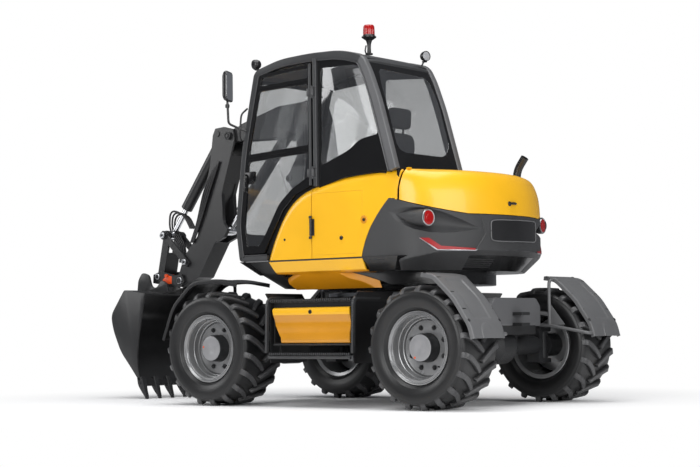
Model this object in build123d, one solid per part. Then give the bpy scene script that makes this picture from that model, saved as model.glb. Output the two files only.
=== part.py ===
from build123d import *
from math import cos, degrees, hypot, pi, radians, sin, sqrt, tan
import os

# A compact wheeled excavator with an offset cab, a three-piece arm and four-wheel steering.
# Millimetres. X points forward, Y to the left, Z up. All places below are measured from the
# slewing axis, which stands midway between the axles; only export moves the model along X.
frame_x = -730

# Wheels and axles
wheelbase = 2190
tyre_radius = 480
tyre_width = 485
overall_width = 2213
lug_count = 19
lug_height = 27
lug_width = 46
lug_angle = 33
tyre_facets = 28
rim_flange_radius = 285
rim_seat_radius = 262
rim_wall = 12
rim_width = 400
disc_offset = 62
disc_thickness = 16
hub_cover_radius = 112
hub_cover_reach = 92
spindle_radius = 60
spindle_length = 70
running_clearance = 0.05
kingpin_inset = 184
kingpin_radius = 25
kingpin_barrel_radius = 58
kingpin_barrel_height = 220
yoke_gap = 1
yoke_thickness = 34
yoke_half_width = 60
axle_tube_radius = 76
axle_bulge_radius = 150

# Chassis
beam_half_width = 350
beam_above_axle = 160
beam_height = 220
front_overhang = 155
rear_overhang = 75
rear_box_length = 130
ring_radius = 500
ring_seat_height = 70
ring_bore = 400
ring_thickness = 30
step_setback = 76.5
step_width = 470
step_gap_to_tyre = 185
step_plate = 8
box_above_axle = 35
box_height = 300
box_setback = 30
lid_thickness = 22
guard_thickness = 10
moving_clearance = 6

# Fenders
fender_inset = 204
fender_outset = 216
fender_thickness = 10
fender_lip = 34
bracket_tube_radius = 14
bracket_inset = 63
full_lock = radians(28)

# Turret, with its heights drawn for a slewing ring whose top stands at drawn_ring_top
drawn_ring_top = 930
turret_floor = 950
deck_top = 1200
turret_half_width = 950
nose_x = 850
tail_radius = 1305
fender_clearance = 20
panel_thickness = 30
hood_wall = 14
hood_top = 1880
seam_side = 1660
seam_rear = 1530
seam_gap = 6

# Cab
cab_outer_y = 950
cab_inner_y = 20
cab_wall = 50
glass_thickness = 6
door_gap = 6

# Arm: pins on the arm's own plane, side view
arm_y = -160
foot_pin = (740, 1170)
elbow_pin = (930, 2580)
jib_tip_pin = (1880, 2430)
dipper_end_pin = (2500, 1105)
rocker_pin = (2426, 1278)
link_top_pin = (2707, 1542)
link_low_pin = (2790, 1150)
lift_foot_pin = (1075, 1150)
lift_head_pin = (1105, 1985)
jib_ram_foot_pin = (800, 1520)
jib_ram_head_pin = (1100, 2450)
crowd_foot_pin = (1240, 2400)
crowd_head_pin = (1970, 1555)
bucket_ram_foot_pin = (2020, 2460)
pin_radius = 25
boom_width = 264
boom_plate = 18
jib_width = 190
dipper_width = 200
fork_gap = 4
rocker_plate = 20
link_width = 172
ram_slot = 124
eye_radius = 44

# Bucket
bucket_width = 900
side_wall = 16
tooth_count = 6
tooth_width = 62

os.makedirs("parts", exist_ok=True)


def save(name, shape, rise=0):
    """Write one node, moved from slewing-axis coordinates to the model's own frame."""
    placed = Pos(frame_x, 0, rise) * shape
    placed.label = name
    export_step(placed, f"parts/{name}.step")


def outline(points, radius=0):
    """A closed flat outline, every corner rounded by the same radius."""
    face = make_face(Polyline(*points, close=True))
    return fillet(face.vertices(), radius) if radius else face


def side_slab(points, middle_y, width, radius=0):
    """An (x, z) outline made into a slab that is centred on middle_y."""
    start = Plane(origin=(0, middle_y + width / 2, 0), x_dir=(1, 0, 0), z_dir=(0, -1, 0))
    return extrude(start * outline(points, radius), width)


def cross_slab(points, low_x, length, radius=0):
    """A (y, z) outline made into a slab that starts at low_x."""
    start = Plane(origin=(low_x, 0, 0), x_dir=(0, 1, 0), z_dir=(1, 0, 0))
    return extrude(start * outline(points, radius), length)


def plan_slab(points, low_z, height, radius=0):
    """An (x, y) outline made into a slab that stands on low_z."""
    return extrude(Plane.XY.offset(low_z) * outline(points, radius), height)


def block(low, high):
    """A box between two corners."""
    size = [b - a for a, b in zip(low, high)]
    middle = [(a + b) / 2 for a, b in zip(low, high)]
    return Pos(*middle) * Box(*size)


def shaft(pin, middle_y, length, radius):
    """A cylinder along Y through an (x, z) pin."""
    return Pos(pin[0], middle_y, pin[1]) * Rot(90, 0, 0) * Cylinder(radius, length)


def rod(start, end, radius):
    """A round bar between two points."""
    a, b = Vector(*start), Vector(*end)
    plane = Plane(origin=a, z_dir=b - a)
    return extrude(plane * Circle(radius), (b - a).length)


def tube_path(points, radius, bend):
    """A round bar along straight runs joined by arcs."""
    path = FilletPolyline(*points, radius=bend)
    section = Plane(origin=path @ 0, z_dir=path % 0) * Circle(radius)
    return sweep(section, path=path)


def toward(start, end, distance):
    """The point that lies a distance from start on the way to end."""
    length = hypot(end[0] - start[0], end[1] - start[1])
    share = distance / length
    return (start[0] + (end[0] - start[0]) * share, start[1] + (end[1] - start[1]) * share)


def beside(start, end, along, aside):
    """A point along the way from start to end and a distance to the left of it."""
    length = hypot(end[0] - start[0], end[1] - start[1])
    ux, uz = (end[0] - start[0]) / length, (end[1] - start[1]) / length
    return (start[0] + ux * along - uz * aside, start[1] + uz * along + ux * aside)


def mirror_y(shape):
    """The same piece on the machine's other side."""
    return mirror(shape, about=Plane.XZ)


axle_x = wheelbase / 2
wheel_y = (overall_width - tyre_width) / 2
kingpin_y = wheel_y - kingpin_inset
fender_inner_y = wheel_y - fender_inset
fender_outer_y = wheel_y + fender_outset
bracket_y = fender_inner_y - bracket_inset
beam_low = tyre_radius + beam_above_axle
beam_high = beam_low + beam_height
beam_front = axle_x + front_overhang
beam_rear = -axle_x - rear_overhang
ring_top = beam_high + ring_seat_height
step_out = overall_width / 2 - step_setback
step_in = step_out - step_width
step_half_length = axle_x - tyre_radius - step_gap_to_tyre
box_low = tyre_radius + box_above_axle
box_high = box_low + box_height
box_out = step_out - box_setback
step_top = box_high + 50
low_step_z = box_low - 85

# Tyre: a faceted carcass and straight bars that meet in a chevron, their ends on the shoulders
carcass_radius = tyre_radius - lug_height
half_tyre = tyre_width / 2
bead_y = rim_width / 2 - 28
lug_end = half_tyre - 24.5
wall_radius = rim_flange_radius + 83
# Columns: distance from the middle plane, distance of the facets from the axle
carcass_sections = [
    (-half_tyre, wall_radius),
    (-half_tyre + 5, carcass_radius - 29),
    (-lug_end - 4, carcass_radius),
    (lug_end + 4, carcass_radius),
    (half_tyre - 5, carcass_radius - 29),
    (half_tyre, wall_radius),
    (bead_y, rim_seat_radius + 0.4),
    (-bead_y, rim_seat_radius + 0.4),
]


def facet_corner(section, index):
    """One corner of a section's polygon, whose sides keep the section's distance."""
    y, radius = section
    angle = 2 * pi * index / tyre_facets
    reach = radius / cos(pi / tyre_facets)
    return (reach * sin(angle), y, reach * cos(angle))


def faceted(sections):
    """A closed ring of flat facets about the axle, through its sections in turn."""
    facets = []
    for start, end in zip(sections, sections[1:] + sections[:1]):
        for index in range(tyre_facets):
            near = [facet_corner(start, index), facet_corner(start, index + 1)]
            far = [facet_corner(end, index + 1), facet_corner(end, index)]
            facets.append(Face(Wire.make_polygon(near + far)))
    return Solid(Shell(facets))


def lug(side, turn):
    """One bar of the tread, from the middle plane out to the shoulder at the lugs' angle."""
    inner = 2
    run = lug_end - inner
    drift = run * tan(radians(lug_angle))
    length = run / cos(radians(lug_angle))
    top = sqrt(tyre_radius**2 - ((drift + lug_width) / 2) ** 2)
    height = lug_height + 30
    bar = Rot(0, 0, -side * lug_angle) * Box(lug_width, length, height)
    bar = Pos(0, side * (inner + lug_end) / 2, top - height / 2) * bar
    return Rot(0, turn + degrees(drift / tyre_radius) / 2, 0) * bar


lugs = []
pitch = 360 / lug_count
for index in range(lug_count):
    lugs.append(lug(1, index * pitch))
    lugs.append(lug(-1, (index + 0.5) * pitch))
tyre = faceted(carcass_sections) + lugs

# Rim: a deep dish turned about the axle, its disc set far in and a drive cover on the disc
half_rim = rim_width / 2
seat_inner = rim_seat_radius - rim_wall
barrel_end = disc_offset + 60
rim_points = [
    (seat_inner, -half_rim),
    (rim_flange_radius, -half_rim),
    (rim_flange_radius, -half_rim + rim_wall),
    (rim_seat_radius, -bead_y - 2),
    (rim_seat_radius, bead_y + 2),
    (rim_flange_radius, half_rim - rim_wall),
    (rim_flange_radius, half_rim),
    (seat_inner, half_rim),
    (seat_inner, barrel_end),
    (seat_inner - 34, disc_offset),
    (hub_cover_radius, disc_offset),
    (hub_cover_radius - 14, disc_offset + hub_cover_reach + 12),
    (0, disc_offset + hub_cover_reach + 12),
    (0, disc_offset - disc_thickness),
    (seat_inner - 20, disc_offset - disc_thickness),
    (seat_inner, disc_offset + 34),
]
rim = revolve(Plane.XY * outline(rim_points), Axis.Y)
hub_flange = Pos(0, disc_offset - disc_thickness - 20, 0) * Rot(90, 0, 0) * Cylinder(150, 40)
rim = rim + hub_flange
spindle_mouth_y = disc_offset - disc_thickness - 40
bore_depth = spindle_length + moving_clearance
rim = rim - Pos(0, spindle_mouth_y + bore_depth / 2, 0) * Rot(90, 0, 0) * Cylinder(
    spindle_radius + running_clearance, bore_depth
)

# Columns: name, axle's side (1 front, -1 rear), machine's side (1 left, -1 right)
corners = [
    ("front_left", 1, 1),
    ("front_right", 1, -1),
    ("rear_left", -1, 1),
    ("rear_right", -1, -1),
]
for name, along, side in corners:
    for piece_name, piece in (("tyre", tyre), ("rim", rim)):
        placed = piece if side > 0 else mirror_y(piece)
        save(f"{piece_name}_{name}", Pos(along * axle_x, side * wheel_y, tyre_radius) * placed)

# Knuckle: kingpin barrel between the axle's yoke arms, drive housing and spindle outward
hub_face_y = wheel_y + spindle_mouth_y - moving_clearance
yoke_low = tyre_radius - kingpin_barrel_height / 2
yoke_high = tyre_radius + kingpin_barrel_height / 2
arm_top = yoke_high + yoke_gap + yoke_thickness
knuckle = Pos(0, kingpin_y, tyre_radius) * Cylinder(kingpin_barrel_radius, kingpin_barrel_height)
knuckle += Pos(0, kingpin_y, tyre_radius) * Cylinder(
    kingpin_radius, kingpin_barrel_height + 2 * (yoke_gap + yoke_thickness + 10)
)
knuckle += shaft((0, tyre_radius), (kingpin_y + 20 + hub_face_y) / 2, hub_face_y - kingpin_y - 20, 96)
spindle_end_y = wheel_y + spindle_mouth_y + spindle_length
spindle_middle = (hub_face_y + spindle_end_y) / 2
knuckle += shaft((0, tyre_radius), spindle_middle, spindle_end_y - hub_face_y, spindle_radius)
cap_z = arm_top + 10
cap_half = 40
knuckle += block((-cap_half, bracket_y - 15, cap_z), (cap_half, kingpin_y + 40, cap_z + 16))

# Fender outlines, (x, z) from the axle's centre line, forward for the front pair
drawn_tyre_radius = 480


def over_tyre(points):
    """Fender points moved out with the tyre, each along its own line from the axle."""
    growth = tyre_radius - drawn_tyre_radius
    return [(x + growth * x / hypot(x, z), z + growth * z / hypot(x, z)) for x, z in points]


front_fender_points = over_tyre([(-345, 545), (-95, 585), (175, 572), (415, 365), (535, 80)])
rear_fender_points = over_tyre([(-55, 577), (-170, 560), (-365, 385), (-515, 175), (-545, 70)])


def band(points, thickness):
    """An open outline given a thickness on its inner side, as one closed outline."""
    inner = []
    for i, (x, z) in enumerate(points):
        before = points[max(i - 1, 0)]
        after = points[min(i + 1, len(points) - 1)]
        length = hypot(after[0] - before[0], after[1] - before[1])
        nx, nz = (after[1] - before[1]) / length, -(after[0] - before[0]) / length
        if nx * x + nz * z > 0:
            nx, nz = -nx, -nz
        inner.append((x + nx * thickness, z + nz * thickness))
    return points + inner[::-1]


def fender(points):
    """A bent sheet over the tyre with a turned-down lip on both long edges."""
    middle = (fender_inner_y + fender_outer_y) / 2
    width = fender_outer_y - fender_inner_y
    sheet = side_slab(band(points, fender_thickness), middle, width)
    for y in (fender_inner_y + 4, fender_outer_y - 4):
        sheet += side_slab(band(points, fender_lip), y, 8)
    return sheet


def under(points, index, share, depth):
    """A point part of the way along one run of an outline, moved in under it."""
    (x0, z0), (x1, z1) = points[index], points[index + 1]
    length = hypot(x1 - x0, z1 - z0)
    nx, nz = (z1 - z0) / length, (x0 - x1) / length
    if nx * x0 + nz * z0 > 0:
        nx, nz = -nx, -nz
    return (x0 + (x1 - x0) * share + nx * depth, z0 + (z1 - z0) * share + nz * depth)


def bracket(points, post_run, sign):
    """Tube bracket inside the wheel: a post up from the knuckle's cap and a run to the end."""
    foot_z = cap_z + 8 - tyre_radius
    inset = fender_thickness + bracket_tube_radius - 5
    post_x, top_z = under(points, post_run, 0.8, inset)
    low_x, low_z = under(points, len(points) - 2, 0.7, inset)
    # Columns: start, end, each as (x, y, z)
    runs = [
        ((sign * cap_half, bracket_y, foot_z), (post_x, bracket_y, foot_z)),
        ((post_x, bracket_y, foot_z - bracket_tube_radius), (post_x, bracket_y, top_z)),
        ((post_x, bracket_y - 20, top_z), (post_x, fender_inner_y + 90, top_z)),
        ((post_x, bracket_y, foot_z), (low_x, bracket_y, low_z)),
        ((low_x, bracket_y - 20, low_z), (low_x, fender_inner_y + 60, low_z)),
    ]
    tube = [rod(start, end, bracket_tube_radius) for start, end in runs]
    gusset_x = post_x - sign * 8
    gusset = [(gusset_x, foot_z), (post_x + sign * 120, foot_z + 4), (gusset_x, foot_z + 150)]
    return tube + [side_slab(gusset, bracket_y, 8)]


for name, along, side in corners:
    rear = along < 0
    points = rear_fender_points if rear else front_fender_points
    cover = Pos(0, 0, tyre_radius) * (fender(points) + bracket(points, 0 if rear else 1, along))
    place = Pos(along * axle_x, 0, 0)
    placed_cover = cover if side > 0 else mirror_y(cover)
    placed_knuckle = knuckle if side > 0 else mirror_y(knuckle)
    save(f"fender_{name}", place * placed_cover)
    save(f"knuckle_{name}", place * placed_knuckle)

# Axles: round housings that swell at the differential and end in open yokes
axle_points = [
    (0, -kingpin_y + 90),
    (axle_tube_radius, -kingpin_y + 90),
    (axle_tube_radius, -230),
    (axle_bulge_radius, -90),
    (axle_bulge_radius, 90),
    (axle_tube_radius, 230),
    (axle_tube_radius, kingpin_y - 90),
    (0, kingpin_y - 90),
]
housing = revolve(Plane.XY * outline(axle_points), Axis.Y)
axle = Pos(0, 0, tyre_radius) * housing
for side in (1, -1):
    low_y, high_y = sorted((side * (kingpin_y - 120), side * (kingpin_y + yoke_half_width)))
    web_low, web_high = sorted((side * (kingpin_y - 120), side * (kingpin_y - kingpin_barrel_radius - 6)))
    axle += block((-yoke_half_width, web_low, yoke_low - 30), (yoke_half_width, web_high, yoke_high + 30))
    for low_z in (yoke_low - yoke_gap - yoke_thickness, yoke_high + yoke_gap):
        axle += block((-yoke_half_width, low_y, low_z), (yoke_half_width, high_y, low_z + yoke_thickness))
    axle -= Pos(0, side * kingpin_y, tyre_radius) * Cylinder(kingpin_radius + running_clearance, 600)
for side in (1, -1):
    axle += block((-60, side * 200 - 40, tyre_radius), (60, side * 200 + 40, beam_low))
save("axle_front", Pos(axle_x, 0, 0) * axle)
save("axle_rear", Pos(-axle_x, 0, 0) * axle)

# Chassis beam, rear box with its cut corners, and the seat of the slewing ring
beam = block((beam_rear, -beam_half_width, beam_low), (beam_front, beam_half_width, beam_high))
beam = chamfer(beam.edges().filter_by(Axis.Y).group_by(Axis.Z)[-1], 60)
rear_face = beam_rear - rear_box_length
rear_box = plan_slab(
    [
        (beam_rear + 60, -beam_half_width),
        (beam_rear, -beam_half_width),
        (rear_face, -beam_half_width + 70),
        (rear_face, beam_half_width - 70),
        (beam_rear, beam_half_width),
        (beam_rear + 60, beam_half_width),
    ],
    beam_low,
    beam_high - beam_low - 40,
)
skid_half = beam_half_width - 70
rear_box += block((rear_face, -skid_half, beam_low - 70), (rear_face + 36, skid_half, beam_low))
tow_radius = 20
tow_ear = block((rear_face - 90, -60, beam_low), (rear_face + 20, 60, beam_low + 25))
tow_ear += block((rear_face - 90, -60, beam_low + 85), (rear_face + 20, 60, beam_low + 110))
tow_x = rear_face - 50
rear_box += tow_ear
rear_box -= Pos(tow_x, 0, beam_low + 55) * Cylinder(tow_radius, 200)
ring_low = ring_top - ring_thickness
pedestal = Pos(0, 0, (beam_high + ring_low) / 2) * Cylinder(ring_radius + 30, ring_low - beam_high)
arms = []
for side in (1, -1):
    for x in (-step_half_length + 60, step_half_length - 60):
        low_y, high_y = sorted((side * (beam_half_width - 20), side * step_in))
        arms.append(block((x - 50, low_y, beam_low + 20), (x + 50, high_y, beam_low + 120)))
save("chassis_frame", beam + rear_box + pedestal + arms)
ring = Pos(0, 0, ring_top - ring_thickness / 2) * Cylinder(ring_radius, ring_thickness)
ring -= Cylinder(ring_bore + running_clearance, 3000)
save("slew_ring", ring)

# Side steps: a box with an open outer face, a toothed tread on top and a low step on a tube
lid_low = box_low + 4
step_box = block((-step_half_length + 20, step_in, box_low), (step_half_length - 20, box_out, box_high))
step_box -= block(
    (-step_half_length + 20 + step_plate, step_in + step_plate, box_low + step_plate),
    (step_half_length - 20 - step_plate, box_out + 1, box_high - step_plate),
)
tread = block((-step_half_length, step_in, step_top - 16), (step_half_length, step_out, step_top))
tread += block((-step_half_length, step_in + 40, box_high), (step_half_length, step_in + 60, step_top - 16))
tread += block((-step_half_length, box_out - 40, box_high), (step_half_length, box_out - 20, step_top - 16))
low_step = block(
    (-step_half_length + 20, box_out - 60, low_step_z - 10),
    (step_half_length, box_out + 50, low_step_z + 6),
)
tooth_pitch = 2 * step_half_length / 14
for index in range(1, 14):
    x = -step_half_length + index * tooth_pitch
    for edge_y, z in ((step_out, step_top), (box_out + 50, low_step_z)):
        notch = [(x - 18, edge_y + 1), (x + 18, edge_y + 1), (x + 7, edge_y - 14), (x - 7, edge_y - 14)]
        cut = plan_slab(notch, z - 30, 60)
        tread -= cut
        low_step -= cut
for x in (-step_half_length + 60, step_half_length - 60):
    low_step += block((x - 8, box_out - 60, low_step_z), (x + 8, box_out - 30, box_low))
# The lid turns on a pin under the box's outer edge
lid_half = step_half_length - 26
hinge_y = box_out + 2 * moving_clearance
hinge_z = box_low - moving_clearance
hinge_pin_radius = 8
hinge_bore_radius = hinge_pin_radius + running_clearance
knuckle_radius = 13
step_hinge = rod((-lid_half, hinge_y, hinge_z), (lid_half, hinge_y, hinge_z), hinge_pin_radius)
for x in (-lid_half + 10, 0, lid_half - 10):
    step_hinge += block((x - 10, box_out - 20, box_low - 16), (x + 10, hinge_y, box_low + 1))


def hang(leaf, low_z):
    """Give the lid two knuckles that turn on the pin with a running clearance."""
    for x in (-lid_half / 2, lid_half / 2):
        leaf += rod((x - 25, hinge_y, hinge_z), (x + 25, hinge_y, hinge_z), knuckle_radius)
        leaf += block((x - 25, lid_y + 2, hinge_z), (x + 25, lid_y + 14, low_z + 10))
        leaf -= rod((x - 30, hinge_y, hinge_z), (x + 30, hinge_y, hinge_z), hinge_bore_radius)
    return leaf


side_step = step_box + tread + low_step + step_hinge
save("side_step_left", side_step)
save("side_step_right", mirror_y(side_step))
lid_y = box_out + moving_clearance
lid_profile = [
    (lid_y, box_low + 6),
    (lid_y, box_high - 6),
    (lid_y + lid_thickness, box_high - 30),
    (lid_y + lid_thickness - 8, box_high - 120),
    (lid_y + lid_thickness, box_low + 90),
    (lid_y + lid_thickness, box_low + 6),
]
lid = cross_slab(lid_profile, -lid_half, 2 * lid_half)
lid_face = [
    (lid_half, box_high),
    (-lid_half, box_high),
    (-lid_half, box_low),
    (lid_half - 90, box_low),
    (lid_half - 90, box_low + 60),
    (lid_half - 20, box_low + 150),
]
lid = hang(lid & side_slab(lid_face, lid_y, 200), box_low + 6)
save("toolbox_lid_left", lid)
save("toolbox_lid_right", mirror_y(lid))

# Splash guards: bent sheets between the wheels and the steps
guard_out = step_out - 10
guard_points = [(0, -120), (guard_thickness, -120), (guard_thickness, 370), (60, 445), (50, 450), (0, 380)]
guards = []
for side in (1, -1):
    for along in (1, -1):
        profile = [(along * (step_half_length + x), tyre_radius + z) for x, z in guard_points]
        guards.append(side_slab(profile, side * (guard_out + step_in) / 2, guard_out - step_in))
save("splash_guards", Compound(children=guards))

# Turret casting: its sides slant in under the house, and it clears the fenders as it slews
turret_rise = ring_top - drawn_ring_top
fender_top = tyre_radius + max(z for x, z in front_fender_points)
pass_height = fender_top + fender_clearance - turret_rise
# The inner rear corner of a front fender swings inward about its kingpin at full lock
corner_back = front_fender_points[0][0]
corner_in = fender_inner_y - kingpin_y
swung_x = axle_x + corner_back * cos(full_lock) - corner_in * sin(full_lock)
swung_y = kingpin_y + corner_back * sin(full_lock) + corner_in * cos(full_lock)
pass_radius = hypot(swung_x, swung_y) - fender_clearance


def house_plan(height, rear_radius, half_width, front):
    """The house's outline at one height: straight sides and a rear arc about the slewing axis."""
    corner_x = -sqrt(rear_radius**2 - half_width**2)
    sides = Polyline(
        (corner_x, half_width),
        (front - 40, half_width),
        (front, half_width - 20),
        (front, 20 - half_width),
        (front - 40, -half_width),
        (corner_x, -half_width),
    )
    rear = ThreePointArc((corner_x, -half_width), (-rear_radius, 0), (corner_x, half_width))
    return Plane.XY.offset(height) * make_face(sides + rear)


def stacked(rows):
    """A solid through house plans, one for each row of height, radius, half width and front."""
    return loft([house_plan(*row) for row in rows], ruled=True)


def save_upper(name, shape):
    """Write one node of the upper structure, at the height of the slewing ring."""
    save(name, shape, turret_rise)


# Columns: height, rear radius, half width, front
belly_rows = [
    (turret_floor + 35, 965, 720, 560),
    (1090, 1150, 875, 700),
    (deck_top, tail_radius - 43, turret_half_width, nose_x),
]
belly = stacked(belly_rows)
belly -= Pos(0, 0, pass_height / 2) * (Cylinder(2000, pass_height) - Cylinder(pass_radius, pass_height))
belly += Pos(0, 0, turret_floor + 20) * Cylinder(ring_radius + 60, 40)
# Louvres in the slanted underside, left of the middle at the rear
louvre_turn = -16
for index in range(5):
    slit_z = 1112 + index * 15
    slit = Pos(-(1150 + (slit_z - 1090)), 0, slit_z) * Box(90, 330, 7)
    belly -= Rot(0, 0, louvre_turn) * slit
spigot_low = drawn_ring_top - 24
spigot_high = turret_floor + 10
spigot = Pos(0, 0, (spigot_low + spigot_high) / 2) * Cylinder(ring_bore, spigot_high - spigot_low)
nose_half = 172
nose_low = lift_foot_pin[1] - 60
nose = block(
    (foot_pin[0] - 120, arm_y - nose_half, nose_low),
    (lift_foot_pin[0] + 60, arm_y + nose_half, deck_top - 10),
)
slot_half = 66
nose -= block(
    (lift_foot_pin[0] - 75, arm_y - slot_half, 900),
    (lift_foot_pin[0] + 70, arm_y + slot_half, 1300),
)
nose += shaft(lift_foot_pin, arm_y, 2 * slot_half + 20, pin_radius)
ears = []
for side in (1, -1):
    y = arm_y + side * (boom_width / 2 + fork_gap + 15)
    ear = side_slab(
        [
            (foot_pin[0] - 150, 1100),
            (foot_pin[0] + 160, 1100),
            (foot_pin[0] + 70, foot_pin[1] + 60),
            (foot_pin[0] - 70, foot_pin[1] + 60),
        ],
        y,
        30,
    )
    ears.append(ear)
turret_frame = belly + spigot + nose + ears
well_half = boom_width / 2 + fork_gap
turret_frame -= block(
    (foot_pin[0] - 160, arm_y - well_half, foot_pin[1] - 105), (foot_pin[0] + 210, arm_y + well_half, 1400)
)
turret_frame += shaft(foot_pin, arm_y, boom_width + 2 * fork_gap + 40, pin_radius)
save_upper("turret_frame", turret_frame)

# Tail weight: the dark lower tail, from the casting up to the seam, round the engine bay
tail_front = -440
tail_rows = [
    (deck_top, tail_radius - 44, turret_half_width - 1, tail_front),
    (1270, tail_radius - 1, turret_half_width - 1, tail_front),
    (seam_side, tail_radius - 6, turret_half_width - 3, tail_front),
]
tail_body = stacked(tail_rows)
wing_inner_y = turret_half_width - 1 - panel_thickness
cab_rear = -828
bay_front = cab_rear - seam_gap
bay_rear = 175 - tail_radius
bay_corners = [(0, wing_inner_y), (bay_front, wing_inner_y), (bay_front - 60, 720), (bay_rear, 330)]
bay_points = bay_corners + [(x, -y) for x, y in bay_corners[::-1]]
bay = plan_slab(bay_points, deck_top - 1, 1000)
# The seam between tail and hood, side view: up the side, then down to the rear
past_tail = -tail_radius - 195
seam_line = [(-470, deck_top), (-750, seam_side), (-1200, seam_rear), (past_tail, seam_rear)]
above_seam = [(x, z - seam_gap) for x, z in seam_line] + [(past_tail, 2100), (0, 2100), (0, deck_top)]
below_seam = seam_line + [(past_tail, 1000), (0, 1000), (0, deck_top)]
tail = tail_body - bay - side_slab(above_seam, 0, 3000)
save_upper("tail_weight", tail)

# Engine hood: a thin shell over the bay that lifts at the rear; its right end is fixed
hood_front = -872
hood_right = -430
hood_low = seam_rear - seam_gap
# Columns: height, distance inside the tail's radius and width
hood_insets = [(hood_low, 2), (1700, 14), (1812, 52), (hood_top, 138)]
hood_rows = []
hollow_rows = []
for z, inset in hood_insets:
    hood_rows.append((z, tail_radius - inset, turret_half_width - inset, 0))
    inner = inset + hood_wall
    hollow_z = z - hood_wall * (z - hood_low) / (hood_top - hood_low)
    hollow_rows.append((hollow_z, tail_radius - inner, turret_half_width - inner, 60))
hood_outer = stacked(hood_rows)
hood_inner = stacked(hollow_rows)
shell = hood_outer - hood_inner
shell -= side_slab([(x, z - seam_gap) for x, z in seam_line] + [(past_tail, 1000), (0, 1000)], 0, 3000)
shell -= block((bay_front, -1200, 1500), (0, 1200, 2000))
pipe_place = (-960, -560)
pipe_radius = 34
right_cover = shell & block((past_tail, -1200, 1500), (0, hood_right - seam_gap, 2000))
right_cover -= Pos(*pipe_place, 1800) * Cylinder(pipe_radius + 0.3, 600)
hood = shell - block((past_tail, -1200, 1500), (0, hood_right, 2000))
hood -= block((hood_front, -1200, 1500), (0, 1200, 2000))
hood -= side_slab(below_seam, 0, 3000)
hood_pin = (-850, 1850)
hood_hinge_places = [140, 700]
for y in hood_hinge_places:
    strap_top = hood_top - hood_wall + 2
    hood += block((hood_front - 30, y - 30, hood_pin[1] - 6), (hood_pin[0], y + 30, strap_top))
    hood += shaft(hood_pin, y, 60, knuckle_radius)
    hood -= shaft(hood_pin, y, 70, hinge_pin_radius + running_clearance)
save_upper("engine_hood", hood)
save_upper("right_rear_cover", right_cover)
engine = block((-1075, -380, deck_top), (-875, 380, 1690))
muffler_low = 1620
engine += block((-1000, pipe_place[1] - 50, muffler_low), (-900, -370, 1720))
save_upper("engine_block", engine)

# Side panels: left one below the cab with its hatch, right one over the tanks
panel_edge = [(524, 1226), (445, 1413), (333, 1598), (202, 1714), (30, 1786), (-305, 1850), (-826, 1878)]
panel_middle_y = turret_half_width - 1 - panel_thickness / 2
over_tail = [(x + 2, z + 2) for x, z in seam_line[:2]]
panel_rear = -826
panel_points = [(524, deck_top)] + panel_edge + [(panel_rear, seam_side - 18)] + over_tail[::-1]
left_panel = side_slab(panel_points, panel_middle_y, panel_thickness)
hatch_front = 40
hatch_rear = -420
hatch_low = deck_top + 30
hatch_high = 1730
hatch_points = [
    (hatch_front, hatch_low),
    (hatch_front, hatch_high),
    (hatch_rear - 60, hatch_high),
    (hatch_rear - 60, 1400),
    (hatch_rear, hatch_low),
]
hatch_start = Plane(origin=(0, turret_half_width - 1, 0), x_dir=(1, 0, 0), z_dir=(0, -1, 0))
left_panel -= extrude(
    hatch_start * offset(outline(hatch_points), seam_gap, kind=Kind.INTERSECTION), panel_thickness
)
hatch = extrude(hatch_start * outline(hatch_points), panel_thickness - moving_clearance)
hatch_pin = (hatch_front + 3, turret_half_width + 10)
hatch_pin_low = 1365
hatch_pin_high = 1550
left_panel += rod((*hatch_pin, hatch_pin_low), (*hatch_pin, hatch_pin_high), 6)
for z in (hatch_pin_low, hatch_pin_high - 20):
    lug_front = hatch_pin[0] + 20
    left_panel += block((hatch_pin[0] - 8, turret_half_width + 1, z), (lug_front, hatch_pin[1] + 8, z + 20))
    left_panel += block((hatch_pin[0] + 6, turret_half_width - 2, z), (lug_front, turret_half_width + 2, z + 20))
hatch += rod((*hatch_pin, hatch_pin_low + 24), (*hatch_pin, hatch_pin_high - 24), 11)
hatch += block(
    (hatch_pin[0] - 30, turret_half_width - 2, hatch_pin_low + 24),
    (hatch_pin[0] - 4, turret_half_width + 8, hatch_pin_high - 24),
)
hatch -= rod((*hatch_pin, hatch_pin_low), (*hatch_pin, hatch_pin_high), 6 + running_clearance)
save_upper("side_panel_left", left_panel)
save_upper("side_hatch", hatch)
tank_left = -380
tank_points = [
    (480, tank_left),
    (480, 1 - turret_half_width),
    (seam_line[0][0] + seam_gap, 1 - turret_half_width),
    (seam_line[0][0] + seam_gap, -wing_inner_y + 3),
    (bay_front + seam_gap, -wing_inner_y + 3),
    (bay_front + seam_gap, tank_left),
]
tank = plan_slab(tank_points, deck_top, 440)
save_upper("right_tank_cover", tank)

# Cab: a shell from the side outline, its windows cut through whole walls
cab_points = [
    (835, deck_top),
    (880, 1500),
    (800, 2150),
    (655, 2800),
    (370, 2872),
    (50, 2888),
    (-270, 2880),
    (-500, 2822),
    (-575, 2680),
    (-670, 2433),
    (-763, 2110),
    (cab_rear, 1885),
    (cab_rear, deck_top),
]
cab_middle = (cab_outer_y + cab_inner_y) / 2
cab_width = cab_outer_y - cab_inner_y
cab_face = outline(cab_points)


def from_left(face, y, depth):
    """Extrude a side outline from a plane at y toward the machine's right."""
    return extrude(Plane(origin=(0, y, 0), x_dir=(1, 0, 0), z_dir=(0, -1, 0)) * face, depth)


def grown(points, distance):
    """An outline moved outward, or inward where the distance is negative."""
    return offset(outline(points), distance, kind=Kind.INTERSECTION)


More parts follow.
